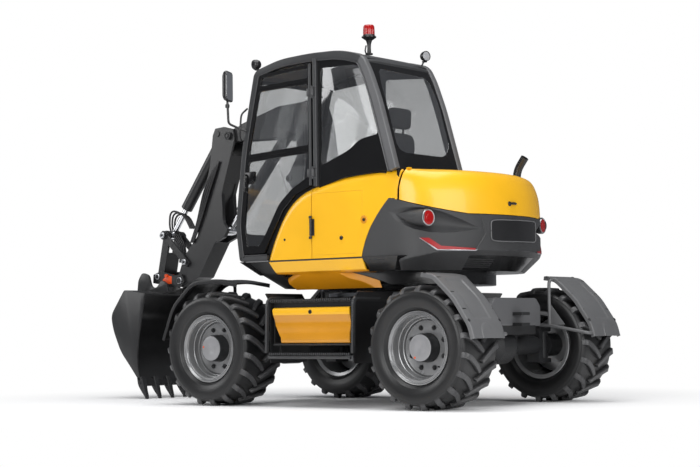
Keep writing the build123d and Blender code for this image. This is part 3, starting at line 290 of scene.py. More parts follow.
def joined(*shells):
    """One pair of points and faces out of several, their face numbers moved along."""
    points, faces, base = [], [], 0
    for shell_points, shell_faces in shells:
        points.append(shell_points)
        shell_faces = shell_faces.tolist() if isinstance(shell_faces, np.ndarray) else shell_faces
        faces += [[corner + base for corner in face] for face in shell_faces]
        base += len(shell_points)
    return np.concatenate(points), faces


def put_piece(name, shells, material, body, replaced=(), crease=35):
    """Join shells into one piece, merge doubles, face it outward, keep edges sharper than
    crease degrees crisp, and hang it on its body in the frame."""
    piece = put_mesh(name, *joined(*shells), material)
    work = bmesh.new()
    work.from_mesh(piece.data)
    bmesh.ops.remove_doubles(work, verts=work.verts, dist=2e-6)
    bmesh.ops.recalc_face_normals(work, faces=work.faces)
    work.to_mesh(piece.data)
    work.free()
    piece.data.set_sharp_from_angle(angle=radians(crease))
    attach(piece, body)
    if replaced:
        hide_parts(*replaced)
    return piece


tyre_radius = 0.480
tread_base = 0.452
tyre_half = 0.2425
bead_radius = 0.268
lug_count = 19
# Columns: radius, distance from the middle plane
carcass_half = [
    (0.300, 0.0),
    (bead_radius, 0.100),
    (bead_radius, 0.168),
    (0.290, 0.196),
    (0.320, 0.226),
    (0.370, tyre_half - 0.001),
    (0.415, 0.238),
    (0.440, 0.218),
    (0.449, 0.190),
    (tread_base, 0.100),
    (tread_base, 0.0),
]
half_line = eased(carcass_half, 3)
ring_line = np.concatenate([half_line, (half_line * [1, -1])[::-1][1:-1]])
# Ribs moulded round the sidewall. Columns: radius, height, half width
rib_rows = np.array(
    [(0.428, 0.0035, 0.0030), (0.402, 0.0015, 0.0020), (0.312, 0.0035, 0.0045), (0.299, 0.002, 0.002)]
)


def ribbed(line):
    """Push sidewall points outward where a rib passes: bell curves of the radius."""
    reach = line[:, 0][:, None] - rib_rows[:, 0]
    lift = (rib_rows[:, 1] * np.exp(-((reach / rib_rows[:, 2]) ** 2))).sum(1)
    wall = np.clip((np.abs(line[:, 1]) - 0.19) / 0.03, 0, 1)
    return line + np.stack([0 * lift, np.sign(line[:, 1]) * lift * wall], -1)


def dense(line, spacing):
    """The same line with extra points, evenly spaced along its length."""
    step = np.linalg.norm(np.diff(line, axis=0), axis=1)
    run = np.concatenate([[0], np.cumsum(step)])
    places = np.linspace(0, run[-1], int(run[-1] / spacing) + 1)
    return np.stack([np.interp(places, run, line[:, i]) for i in range(line.shape[1])], -1)


def tread_bars(side):
    """All bars of one half tread. Along a bar u runs from its tip near the middle plane to the
    shoulder; its centre line swings round the tyre as 1 - (1 - u) to the 1.5, and its section is
    a block with drafted flanks that sinks into the carcass at both ends."""
    u = np.array([0.0, 0.03, 0.12, 0.24, 0.36, 0.48, 0.60, 0.72, 0.82, 0.90, 0.96, 1.0])
    raised = np.array([0.0, 1, 1, 1, 1, 1, 1, 1, 1, 1, 1, 0.0])
    across = -0.006 + 0.238 * u
    drift = 0.162 * (1 - (1 - u) ** 1.5) - 0.02 * u
    top = tyre_radius - 0.052 * np.clip((u - 0.80) / 0.20, 0, 1) ** 2
    base = np.interp(np.abs(across), half_line[::-1, 1][:40], half_line[::-1, 0][:40]) - 0.006
    width = np.interp(u, [0, 0.15, 1], [0.026, 0.036, 0.047])
    # Section places. Columns: share of the half width, share of the height
    flank = np.array([(-1.22, 0.0), (-1.08, 0.55), (-0.98, 0.9), (-0.82, 1.0)])
    section = np.concatenate([flank, (flank * [-1, 1])[::-1]])
    slope_y, slope_a = np.gradient(across), np.gradient(drift)
    length = np.hypot(slope_y, slope_a)
    normal_y, normal_a = -slope_a / length, slope_y / length
    aside = section[:, 0][None, :] * width[:, None] / 2
    height = base[:, None] + (top - base)[:, None] * section[:, 1][None, :] * raised[:, None]
    y = across[:, None] + normal_y[:, None] * aside
    angle = (drift[:, None] + normal_a[:, None] * aside) / tyre_radius
    first = (0.0 if side > 0 else 0.5) * 2 * np.pi / lug_count
    starts = first + np.arange(lug_count) * 2 * np.pi / lug_count
    angle = angle[None] + starts[:, None, None]
    radius = np.broadcast_to(height[None], angle.shape)
    spread = np.broadcast_to(side * y[None], angle.shape)
    bars = np.stack([radius * np.sin(angle), spread, radius * np.cos(angle)], -1)
    wear_and_sheen = np.broadcast_to((section[:, 1][None] * raised[:, None])[None], angle.shape)
    faces = grid_faces(len(u), len(section), wrap_columns=True)
    count = len(u) * len(section)
    all_faces = faces[None] + (np.arange(lug_count) * count)[:, None, None]
    return bars.reshape(-1, 3), all_faces.reshape(-1, 4), wear_and_sheen.reshape(-1)


def tyre_material():
    """Black rubber; one point attribute turns the bar tops grey and grainy where they are worn, and
    lightens the sidewall ribs grey as a painted highlight.
    """
    material, parts, links, output = new_material("tyre_rubber_wear_and_sheen")
    shader = parts.new("ShaderNodeBsdfPrincipled")
    shader.inputs["Specular IOR Level"].default_value = 0.55
    place = parts.new("ShaderNodeTexCoord")
    wear_and_sheen = parts.new("ShaderNodeAttribute")
    wear_and_sheen.attribute_name = "wear_and_sheen"
    grit = parts.new("ShaderNodeTexNoise")
    grit.inputs["Scale"].default_value = 160
    grit.inputs["Detail"].default_value = 4
    links.new(place.outputs["Object"], grit.inputs["Vector"])
    patch = parts.new("ShaderNodeMath")
    patch.operation = "MULTIPLY"
    links.new(grit.outputs[0], patch.inputs[0])
    links.new(wear_and_sheen.outputs["Fac"], patch.inputs[1])
    tone = parts.new("ShaderNodeValToRGB")
    tone.color_ramp.elements[0].position = 0.05
    tone.color_ramp.elements[0].color = (0.006, 0.006, 0.0065, 1)
    tone.color_ramp.elements[1].position = 0.75
    tone.color_ramp.elements[1].color = (0.085, 0.085, 0.088, 1)
    links.new(patch.outputs[0], tone.inputs[0])
    links.new(tone.outputs[0], shader.inputs["Base Color"])
    gloss = parts.new("ShaderNodeMapRange")
    gloss.inputs["To Min"].default_value = 0.26
    gloss.inputs["To Max"].default_value = 0.52
    links.new(grit.outputs[0], gloss.inputs["Value"])
    links.new(gloss.outputs[0], shader.inputs["Roughness"])
    bump = parts.new("ShaderNodeBump")
    bump.inputs["Strength"].default_value = 0.35
    bump.inputs["Distance"].default_value = 0.002
    links.new(grit.outputs[0], bump.inputs["Height"])
    links.new(bump.outputs[0], shader.inputs["Normal"])
    links.new(shader.outputs[0], output.inputs["Surface"])
    return material


def carry_attribute(piece, name, values):
    """Store one number per point for the material to read."""
    layer = piece.data.attributes.new(name, "FLOAT", "POINT")
    layer.data.foreach_set("value", np.asarray(values, np.float32))


wheelbase_half = 1.095
wheel_y = 0.864
# Columns: name, axle's side, machine's side
wheel_places = [("front_left", 1, 1), ("front_right", 1, -1), ("rear_left", -1, 1), ("rear_right", -1, -1)]
rubber_wear_and_sheen = tyre_material()
ring = ribbed(dense(ring_line, 0.0065))
# The two rib rings are lightened like the worn bar tops: a painted highlight on the sidewall ribs, not
# wear.
upper_rib_highlight = 0.30 * np.exp(-(((ring[:, 0] - 0.428) / 0.005) ** 2))
lower_rib_highlight = 0.25 * np.exp(-(((ring[:, 0] - 0.312) / 0.008) ** 2))
rib_highlight = upper_rib_highlight + lower_rib_highlight
ring_steps = 168
for place_name, along, side in wheel_places:
    center = np.array([slew_x + along * wheelbase_half, side * wheel_y, tyre_radius])
    pieces = [turned(ring, ring_steps, center, (0, side, 0), closed=True)]
    wear_and_sheen_parts = [np.repeat(rib_highlight, ring_steps)]
    for half in (1, -1):
        bars, bar_faces, bar_wear = tread_bars(half)
        pieces.append((bars * [1, side, 1] + center, bar_faces))
        wear_and_sheen_parts.append(bar_wear)
    points, faces = joined(*pieces)
    tyre = put_mesh("tyre_" + place_name + "_moulded", points, faces, rubber_wear_and_sheen)
    carry_attribute(tyre, "wear_and_sheen", np.concatenate(wear_and_sheen_parts))
    work = bmesh.new()
    work.from_mesh(tyre.data)
    bmesh.ops.recalc_face_normals(work, faces=work.faces)
    work.to_mesh(tyre.data)
    work.free()
    edge_keep = tyre.modifiers.new("crisp", "EDGE_SPLIT")
    edge_keep.split_angle = radians(38)
    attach(tyre, "wheel_" + place_name)
    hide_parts("tyre_" + place_name)


# Rims. A rolled steel rim with a bright lip and a second ring, a deep barrel, and a drive disc
# set far in behind a dark gap. Eight nuts hold the disc, and the planet cover stands proud.
# Columns: radius, distance out from the wheel's middle plane
dish_profile = [
    (0.0605, 0.076),
    (0.0605, 0.006),
    (0.150, 0.006),
    (0.150, 0.044),
    (0.226, 0.046),
    (0.240, 0.080),
    (0.248, 0.120),
    (0.2495, 0.168),
    (0.2495, -0.190),
    (0.262, -0.196),
    (0.279, -0.2),
    (0.285, -0.196),
    (0.284, -0.188),
    (0.2625, -0.172),
    (0.2625, 0.172),
    (0.284, 0.188),
    (0.2855, 0.194),
    (0.2835, 0.1995),
    (0.2785, 0.2),
    (0.2745, 0.196),
    (0.2705, 0.186),
    (0.2640, 0.181),
    (0.2590, 0.182),
    (0.2555, 0.187),
    (0.2500, 0.188),
    (0.2465, 0.183),
    (0.2440, 0.160),
    (0.2420, 0.122),
    (0.2370, 0.119),
    (0.2345, 0.113),
    (0.2320, 0.086),
    (0.2290, 0.077),
    (0.2235, 0.0745),
    (0.2215, 0.070),
    (0.2190, 0.054),
    (0.2160, 0.054),
    (0.2150, 0.064),
    (0.2120, 0.0675),
    (0.2050, 0.068),
    (0.1500, 0.064),
    (0.1150, 0.064),
    (0.1150, 0.050),
    (0, 0.050),
    (0, 0.076),
]
# Columns: radius, distance out; the cover's wall, drawn dark as painted shade of its side, then its bare
# machined face
cover_wall = [
    (0, 0.046), (0.1115, 0.046), (0.1115, 0.120), (0.1090, 0.152), (0.1060, 0.163), (0.1035, 0.1655),
    (0, 0.1655),
]
cover_face = [
    (0, 0.160), (0.1030, 0.160), (0.1030, 0.1662), (0.0990, 0.1680), (0.0400, 0.1672), (0.0380, 0.1660),
    (0, 0.1660),
]
nut_profile = [(0, 0), (0.0150, 0), (0.0150, 0.013), (0.0120, 0.0155), (0, 0.0155)]
stud_profile = [(0, 0.01), (0.0080, 0.01), (0.0080, 0.023), (0.0060, 0.025), (0, 0.025)]
washer_profile = [(0, -0.001), (0.0205, -0.001), (0.0205, 0.003), (0, 0.003)]
valve_profile = [(0, 0), (0.006, 0), (0.006, 0.04), (0, 0.042)]
plug_profile = [(0, 0), (0.011, 0), (0.008, 0.003), (0, 0.004)]
rim_paint = finish(
    "rim_paint", (0.30, 0.302, 0.306), 0.26, metallic=0.55, drift=0.08, grain=0.1, grain_size=0.0015
)
hub_iron = finish(
    "hub_iron", (0.30, 0.30, 0.31), 0.38, metallic=0.35, drift=0.16, grain=0.35, grain_size=0.006
)
seal_orange = finish("seal_orange", (0.75, 0.10, 0.02), 0.4, drift=0.1)
nut_angles = radians(22.5) + np.arange(8) * radians(45)
for place_name, along, side in wheel_places:
    center = np.array([slew_x + along * wheelbase_half, side * wheel_y, tyre_radius])
    out = np.array([0.0, side, 0.0])
    body = "wheel_" + place_name
    dish = turned(dish_profile, 128, center, out)
    put_piece("rim_dish_" + place_name, [dish], rim_paint, body, ["rim_" + place_name])
    valve_spot = center + out * 0.150 + [-0.190, 0, -0.150]
    valve = turned(valve_profile, 12, valve_spot, out + [0.35, 0, 0.28])
    # The cover's wall goes with the nuts in the dark casting finish: painted shade of the cover's side.
    hardware = [turned(cover_wall, 96, center, out), valve]
    for angle in nut_angles:
        spot = center + out * 0.066 + 0.165 * np.array([np.sin(angle), 0, np.cos(angle)])
        hardware.append(turned(washer_profile, 20, spot, out))
        hardware.append(turned(nut_profile, 6, spot + out * 0.002, out))
        hardware.append(turned(stud_profile, 12, spot, out))
    put_piece("hub_hardware_" + place_name, hardware, casting, body)
    plug_spot = center + out * 0.166 + ([0.084, 0, 0.012] if along > 0 else [0.050, 0, -0.075])
    face = turned(cover_face, 96, center, out)
    put_piece("hub_face_" + place_name, [face], hub_iron, body)
    plug = turned(plug_profile, 20, plug_spot, out)
    put_piece("hub_seal_" + place_name, [plug], seal_orange, body)


# Fenders. Pressed sheet over each tyre with lips turned down along both edges, a pressed field
# in the middle, and slots for straps. A bent tube bracket on the knuckle carries each one.
def rounded(corners, cuts, steps=7):
    """A corner line whose inner corners are swept by quadratic curves that start the cut's
    length before each corner and end as far after it."""
    line = np.asarray(corners, float)
    cuts = np.broadcast_to(cuts, len(line) - 2)
    before, here, after = line[:-2], line[1:-1], line[2:]
    back, ahead = before - here, after - here
    back = here + back * (cuts / np.linalg.norm(back, axis=1))[:, None]
    ahead = here + ahead * (cuts / np.linalg.norm(ahead, axis=1))[:, None]
    t = np.linspace(0, 1, steps)[None, :, None]
    curve = back[:, None] * (1 - t) ** 2 + here[:, None] * 2 * t * (1 - t) + ahead[:, None] * t**2
    return np.concatenate([line[:1], curve.reshape(-1, line.shape[1]), line[-1:]])


def carried(path, section, up=(0, 0, 1), closed=False, spread=1.0):
    """A closed section carried along a path: at each point the section's two directions are
    square to the path, the second one as near to up as it can be. Spread scales the section
    at each point, or its two directions apart. Both ends are capped."""
    path, section = np.asarray(path, float), np.asarray(section, float)
    if closed:
        ahead = np.roll(path, -1, 0) - np.roll(path, 1, 0)
    else:
        ahead = np.gradient(path, axis=0)
    ahead /= np.linalg.norm(ahead, axis=1)[:, None]
    aside = np.cross(ahead, np.asarray(up, float))
    aside /= np.linalg.norm(aside, axis=1)[:, None]
    raised = np.cross(aside, ahead)
    spread = np.asarray(spread, float)
    spread = spread.reshape(-1, 1, spread.shape[-1]) if spread.ndim == 2 else spread.reshape(-1, 1, 1)
    section = section[None] * spread
    points = path[:, None] + aside[:, None] * section[..., :1] + raised[:, None] * section[..., 1:]
    rows, columns = points.shape[:2]
    faces = grid_faces(rows, columns, closed, True).tolist()
    if not closed:
        faces += [list(range(columns)), list(range((rows - 1) * columns, rows * columns))]
    return points.reshape(-1, 3), faces


def circle(radius, steps=16):
    """A round section."""
    angle = np.linspace(0, 2 * np.pi, steps, endpoint=False)
    return np.stack([radius * np.cos(angle), radius * np.sin(angle)], -1)


def bent_tube(corners, radius, bend, up=(0, 0, 1), steps=14):
    """Round bar or tube along a corner line with swept bends."""
    return carried(rounded(corners, bend), circle(radius, steps), up)


def plate(corners, low, high, plane, edge=0.003):
    """A flat plate cut to an outline: two rims inset by the edge's round, two full rims, and a
    face at each end. The plane names the outline's two axes and then the thickness axis."""
    outline = np.asarray(corners, float)
    back, ahead = outline - np.roll(outline, 1, 0), np.roll(outline, -1, 0) - outline
    back /= np.linalg.norm(back, axis=1)[:, None]
    ahead /= np.linalg.norm(ahead, axis=1)[:, None]
    area = (outline[:, 0] * np.roll(outline[:, 1], -1) - outline[:, 1] * np.roll(outline[:, 0], -1)).sum()
    inward = np.stack([-(back + ahead)[:, 1], (back + ahead)[:, 0]], -1) * np.sign(area)
    half_turn = np.sqrt(np.clip((1 + (back * ahead).sum(1)) / 2, 0.1, 1))
    inward /= np.linalg.norm(inward, axis=1)[:, None] * half_turn[:, None]
    rims = [
        (edge, low), (edge * 0.3, low + edge * 0.3), (0, low + edge), (0, high - edge),
        (edge * 0.3, high - edge * 0.3), (edge, high),
    ]
    rows = [
        np.column_stack([outline + inward * inset, np.full(len(outline), level)]) for inset, level in rims
    ]
    points = np.stack(rows)[..., [plane.index(letter) for letter in "xyz"]]
    count = len(outline)
    faces = grid_faces(len(rims), count, False, True).tolist()
    faces += [list(range(count)), list(range((len(rims) - 1) * count, len(rims) * count))]
    return points.reshape(-1, 3), faces


def strap(x_ends, z_ends, low, high, edge=0.002):
    """A rectangular plate that stands across the machine's y, placed from the slewing axis."""
    (x_low, x_high), (z_low, z_high) = x_ends, z_ends
    outline = [
        (slew_x + x_low, z_low), (slew_x + x_high, z_low), (slew_x + x_high, z_high),
        (slew_x + x_low, z_high),
    ]
    return plate(outline, low, high, "xzy", edge)


def thickened(grid, thickness, away):
    """A sheet made a closed shell: a second grid lies the thickness away along the given
    normals, and the four edges are joined by strips."""
    rows, columns = grid.shape[:2]
    under = grid + away * thickness
    both = np.concatenate([grid.reshape(-1, 3), under.reshape(-1, 3)])
    count = rows * columns
    number = np.arange(count).reshape(rows, columns)
    rim = np.concatenate([number[0], number[1:, -1], number[-1, -2::-1], number[-2:0:-1, 0]])
    after = np.roll(rim, -1)
    strips = np.stack([rim, after, after + count, rim + count], -1)
    faces = grid_faces(rows, columns)
    return both, np.concatenate([faces, faces + count, strips])


def normals(grid):
    """Unit normals of a grid of points, from its two directions."""
    normal = np.cross(np.gradient(grid, axis=0), np.gradient(grid, axis=1))
    return normal / np.maximum(np.linalg.norm(normal, axis=-1, keepdims=True), 1e-9)


def fade(value, low, high):
    """A smooth step from 0 at low to 1 at high."""
    t = np.clip((value - low) / (high - low), 0, 1)
    return t * t * (3 - 2 * t)


fender_inner, fender_outer = wheel_y - 0.204, wheel_y + 0.216
# Columns: outline in (x, z) from the axle, cut of the corners, share of the run where the
# pressed field starts and ends, depth of the field
fender_forms = {
    1: (
        [(-0.345, 0.545), (-0.095, 0.585), (0.175, 0.572), (0.415, 0.365), (0.535, 0.080)], 0.085, 0.10,
        0.86, 0.004,
    ),
    -1: (
        [(-0.055, 0.577), (-0.170, 0.560), (-0.365, 0.385), (-0.511, 0.175), (-0.5395, 0.070)], 0.045, 0.20,
        0.80, 0.009,
    ),
}
mid_grey = finish(
    "mid_grey_paint", (0.130, 0.131, 0.134), 0.33, drift=0.1, grain=0.2, grain_size=0.002, edge=0.003
)
grommet_profile = [(0, 0), (0.013, 0), (0.013, 0.004), (0.009, 0.006), (0.006, 0.002), (0, 0.002)]
front_black = finish(
    "fender_black", (0.014, 0.014, 0.015), 0.33, drift=0.12, grain=0.2, grain_size=0.0015, edge=0.002
)
# Near black for holes and gaps: painted shade where light does not reach in.
hole_shade_paint = finish("hole_shade_paint", (0.004, 0.004, 0.004), 0.8, drift=0.1)
for place_name, along, side in wheel_places:
    corners, cut, field_start, field_end, field_depth = fender_forms[along]
    axle = np.array([slew_x + along * wheelbase_half, 0, tyre_radius])
    path = dense(rounded(corners, [cut, cut, cut]), 0.007)
    ahead = np.gradient(path, axis=0)
    ahead /= np.linalg.norm(ahead, axis=1)[:, None]
    outward_2d = np.stack([-ahead[:, 1], ahead[:, 0]], -1)
    outward_2d *= np.sign((outward_2d * path).sum(1))[:, None]
    width = fender_outer - fender_inner
    lip = np.array([(0.0, 0.034), (0.0, 0.020), (0.0, 0.008), (0.0012, 0.003), (0.0045, 0.0005)])
    flat = np.linspace(0.010, width - 0.010, 72)
    across = np.concatenate([lip[:, 0], flat, width - lip[::-1, 0]])
    sunk = np.concatenate([lip[:, 1], 0 * flat, lip[::-1, 1]])
    run = np.linspace(0, 1, len(path))[:, None]
    share = (across / width)[None, :]
    field = fade(run, field_start, field_start + 0.05) * (1 - fade(run, field_end - 0.05, field_end))
    field = field * fade(share, 0.24, 0.29) * (1 - fade(share, 0.76, 0.81))
    ridge = fade(run, 0.02, 0.03) * 0.003 * np.exp(-(((share - 0.5) / 0.47) ** 16))
    arch_height = 0.93 - 0.10 * np.sqrt(np.clip(1 - ((share - 0.55) / 0.16) ** 2, 0, 1))
    arch = fade(run, arch_height, arch_height + 0.015) * (np.abs(share - 0.55) < 0.16) * (along < 0)
    depth = sunk[None, :] + field_depth * field - ridge + 0.003 - 0.005 * arch
    y = side * (fender_inner + across)[None, :]
    x = axle[0] + path[:, 0, None] - outward_2d[:, 0, None] * depth
    z = axle[2] + path[:, 1, None] - outward_2d[:, 1, None] * depth
    grid = np.stack([x, np.broadcast_to(y, x.shape), z], -1)
    rows, columns = x.shape
    inward = np.stack([-outward_2d[:, 0], 0 * path[:, 0], -outward_2d[:, 1]], -1)
    into = np.broadcast_to(inward[:, None], grid.shape).copy()
    edge_in = np.zeros(columns)
    edge_in[:4], edge_in[-4:] = 1, -1
    into = into * (1 - np.abs(edge_in))[None, :, None]
    into[..., 1] += side * edge_in
    body = "knuckle_" + place_name
    paint = front_black if along > 0 else mid_grey
    sheet = thickened(grid, 0.006, into)
    put_piece("fender_sheet_" + place_name, [sheet], paint, body, ["fender_" + place_name], 40)
    inner_y, bracket_y = side * fender_inner, side * (fender_inner - 0.063)
    foot_z = tyre_radius + 0.110 + 0.001 + 0.034 + 0.018
    top_run = 0 if along < 0 else 1
    top = np.array(corners[top_run]) * 0.2 + np.array(corners[top_run + 1]) * 0.8
    low = np.array(corners[-2]) * 0.3 + np.array(corners[-1]) * 0.7
    top, low = top * (1 - 0.020 / np.linalg.norm(top)), low * (1 - 0.022 / np.linalg.norm(low))
    post_x, low_x = axle[0] + top[0], axle[0] + low[0]
    foot = (axle[0] + along * 0.040, bracket_y, foot_z)
    top_z, low_z = tyre_radius + top[1], tyre_radius + low[1]
    arm_up = (0, 0, 1) if along > 0 else (0.1, 0.2, 1)
    bar = 0.014
    low_arm = [
        foot, (post_x, bracket_y, foot_z), (low_x, bracket_y, low_z), (low_x, inner_y + side * 0.06, low_z)
    ]
    post = [
        (post_x, bracket_y, foot_z - 0.01), (post_x, bracket_y, top_z),
        (post_x, inner_y + side * 0.09, top_z),
    ]
    tubes = [bent_tube(low_arm, bar, 0.035, arm_up), bent_tube(post, bar, 0.05, (1, 0, 0))]
    gusset_x = post_x - along * 0.008
    gusset = [(gusset_x, foot_z), (post_x + along * 0.150, foot_z + 0.004), (gusset_x, foot_z + 0.20)]
    low_y, high_y = sorted((bracket_y - 0.003, bracket_y + 0.003))
    tubes.append(plate(gusset, low_y, high_y, "xzy", 0.001))
    put_piece("fender_bracket_" + place_name, tubes, paint, body)
    # The strap slots are near black bars sunk into the sheet and the grommets near black rings: painted
    # shade inside the holes.
    slots = []
    if along < 0:
        for run_share in (0.20, 0.43, 0.66):
            row = int(run_share * (rows - 1))
            for share_y in (0.055, 0.845):
                start = grid[row, int(share_y * (columns - 1))]
                step = np.array([0, side * 0.042, 0])
                normal = np.array([outward_2d[row, 0], 0, outward_2d[row, 1]])
                slot_line = [start - normal * 0.004, start + step - normal * 0.004]
                slots.append(carried(slot_line, circle(0.006, 8), normal))
        for run_share, share_y in ((0.045, 0.05), (0.80, 0.05), (0.045, 0.95), (0.80, 0.95)):
            row = int(run_share * (rows - 1))
            spot = grid[row, int(share_y * (columns - 1))]
            normal = np.array([outward_2d[row, 0], 0, outward_2d[row, 1]])
            slots.append(turned(grommet_profile, 20, spot - normal * 0.002, normal))
        put_piece("fender_slots_" + place_name, slots, hole_shade_paint, body)


# House. Moulded panels stand round a black welded frame: a yellow hood over the engine, a yellow
# left side with its hatch, a charcoal tail with lamp scoops, and skirts underneath.
under_black = finish("under_black", (0.007, 0.007, 0.0075), 0.24, coat=0.2, drift=0.1, edge=0.003)
yellow = finish(
    "yellow_paint", (0.87, 0.455, 0.006), 0.36, coat=0.25, drift=0.04, grain=0.06, grain_size=0.0015,
    edge=0.003,
)
red_glow = finish("red_lens", (0.36, 0.003, 0.003), 0.15, coat=0.3, drift=0.1)
coat_nodes(under_black, "turret_frame")
coat_nodes(casting, "engine_block")
coat_nodes(yellow, "right_tank_cover")
house_half = 0.949
tail_reach = 1.305
hood_top = 1.880
panel_wall = 0.012


def house_points(angle, z, inset):
    """Skin of the house. Seen from above, flat sides at w and a rear arc of radius R about
    the slewing axis blend as r = ((w / sin a)^-16 + R^-16)^(-1/16), both less the inset."""
    side_reach = (house_half - inset) / np.maximum(np.abs(np.sin(angle)), 1e-6)
    reach = (side_reach**-16.0 + (tail_reach - inset) ** -16.0) ** (-1 / 16)
    return np.stack([slew_x + reach * np.cos(angle), reach * np.sin(angle), z + 0 * reach], -1)


def angle_at(x, inset=0.0):
    """The angle from straight ahead at which the left flat side reaches the place x."""
    return np.arctan2(house_half - inset, x)


def rimmed(grid, depth):
    """A sheet with its rim turned in: one more ring of points lies the depth behind the edge."""
    inward = -normals(grid)
    middle_point = grid.reshape(-1, 3).mean(0)
    if ((grid - middle_point) * inward).sum() > 0:
        inward = -inward
    wide = np.pad(grid, ((1, 1), (1, 1), (0, 0)), mode="edge")
    turned_in = np.pad(inward, ((1, 1), (1, 1), (0, 0)), mode="edge") * depth
    turned_in[1:-1, 1:-1] = 0
    wide = wide + turned_in
    return wide.reshape(-1, 3), grid_faces(*wide.shape[:2])


def seam_height(x):
    """Height of the seam between tail and hood: down along the side, then level at the rear."""
    return np.clip(1.66 - 0.2889 * (-0.75 - x), 1.53, 1.66)


def hood_lean(z):
    """How far the hood's section has come in at a height."""
    return np.interp(z, section_curve[:, 1], section_curve[:, 0])


# Columns: distance inside the tail's line, height
section_curve = eased(
    [(0.002, 1.50), (0.006, 1.62), (0.016, 1.715), (0.050, 1.815), (0.090, 1.862), (0.145, 1.880)], 3
)
tail_grain = finish(
    "tail_grain", (0.036, 0.0365, 0.038), 0.36, drift=0.10, grain=0.75, grain_size=0.0035, edge=0.003
)
# The yellow paint darkened to orange: painted shade for faces that turn down under the house or sit in a
# recess.
yellow_painted_shade = finish(
    "yellow_painted_shade", (0.66, 0.26, 0.004), 0.30, coat=0.4, drift=0.06, grain=0.06, grain_size=0.0015,
    edge=0.003,
)

# Tail: one grid over angle and height, pushed in for the scoops and round the plate's field
tail_foot = 1.086
half_angles = radians(1) * np.concatenate(
    [np.linspace(0, 7, 8)[:-1], np.linspace(7, 52, 160), np.linspace(52, 64, 14)[1:]]
)
tail_share = np.concatenate([-half_angles[:0:-1], half_angles]) / half_angles[-1]
rise = np.concatenate([np.linspace(0, 0.30, 14), np.linspace(0.30, 0.97, 86)[1:], [0.99, 1.0]])[:, None]
left_z = tail_foot + (1.653 - tail_foot) * rise
climb = np.clip((left_z - 1.2) / 0.457, 0, 1)
edge_x = -0.473 - 0.10 * climb - 0.182 * climb**2.2 - 0.42 * np.clip(1.2 - left_z, 0, 1)
left_angle = angle_at(edge_x)
tail_angle = np.pi + (np.pi - left_angle) * tail_share[None, :]
mirrored = np.degrees(np.pi - np.abs(np.pi - tail_angle))
flat_place = house_points(tail_angle, 0 * tail_angle, 0.0)
top_z = seam_height(flat_place[..., 0] - slew_x) - 0.005
tail_z = tail_foot + (top_z - tail_foot) * rise
crease_z = np.interp(mirrored, [110, 117, 133, 145, 160, 180], [1.195, 1.189, 1.166, 1.223, 1.241, 1.245])
under = np.clip(crease_z - tail_z, 0, 1)
# Columns: angle in degrees, height of the scoop's upper edge, of its lower edge, depth
scoop = np.array([
    (128.6, 1.549, 1.547, 0.0),
    (131.0, 1.562, 1.482, 0.012),
    (134.0, 1.573, 1.435, 0.026),
    (137.0, 1.576, 1.406, 0.040),
    (142.0, 1.566, 1.380, 0.054),
    (147.0, 1.538, 1.374, 0.058),
    (152.0, 1.498, 1.380, 0.044),
    (157.0, 1.456, 1.394, 0.022),
    (162.4, 1.412, 1.410, 0.0),
])
upper = np.interp(mirrored, scoop[:, 0], scoop[:, 1])
lower = np.interp(mirrored, scoop[:, 0], scoop[:, 2])
across = np.clip((tail_z - lower) / np.maximum(upper - lower, 1e-4), 0, 1)
dip = np.interp(mirrored, scoop[:, 0], scoop[:, 3]) * np.sin(np.pi * across) ** 0.75
field_edge = np.interp(tail_z, [1.22, 1.241, 1.371, 1.500, 1.53], [159.0, 160.0, 164.5, 162.8, 162.0])
shoulder_dip = 0.007 * np.exp(-np.clip(field_edge - mirrored, 0, 90) / 3.0) * (mirrored < field_edge)
tail_inset = 0.003 + 1.02 * under + dip + shoulder_dip * fade(tail_z, 1.24, 1.26)
tail_grid = house_points(tail_angle, tail_z, tail_inset)
tail_shells = [rimmed(tail_grid, 0.028)]
# The scoop's floor swells into a round lamp barrel. Columns: x, y, z, radius
barrel_rows = np.array([
    (-0.745, 0.900, 1.535, 0.010),
    (-0.820, 0.880, 1.516, 0.032),
    (-0.890, 0.862, 1.503, 0.052),
    (-0.960, 0.842, 1.495, 0.064),
    (-1.022, 0.822, 1.491, 0.068),
])
fine_rows = np.linspace(0, 4, 25)
barrel = np.stack([np.interp(fine_rows, range(5), barrel_rows[:, i]) for i in range(4)], -1)
# Profiles about the lamp's axis. Columns: radius, reach
bowl_profile = [(0, -0.02), (0.069, -0.02), (0.0705, 0.012), (0.069, 0.020), (0, 0.020)]
bezel_profile = [
    (0.0560, 0.018), (0.0640, 0.018), (0.0655, 0.022), (0.0640, 0.027), (0.0600, 0.0285), (0.0560, 0.026)
]
lens_profile = [
    (0, 0.015), (0.0575, 0.015), (0.0575, 0.024), (0.050, 0.0275), (0.028, 0.0285), (0.026, 0.0315),
    (0, 0.0325),
]
lamp_shells, ring_shells = [], []
for side in (1, -1):
    way = barrel[:, :3] * [1, side, 1] + [slew_x, 0, 0]
    tail_shells.append(carried(way, circle(1.0, 40), spread=barrel[:, 3]))
    lamp_spot = np.array([slew_x - 1.020, side * 0.8215, 1.491])
    facing = np.array([-0.985, side * 0.17, 0.0])
    tail_shells.append(turned(bowl_profile, 48, lamp_spot, facing))
    ring_shells.append(turned(bezel_profile, 64, lamp_spot, facing, closed=True))
    lamp_shells.append(turned(lens_profile, 64, lamp_spot, facing))
put_piece("tail_shell", tail_shells, tail_grain, "turret", ["tail_weight"], 30)
put_piece("tail_lamp_lenses", lamp_shells, red_glow, "turret", ["tail_lamps"])
put_piece("tail_lamp_rings", ring_shells, steel, "turret")

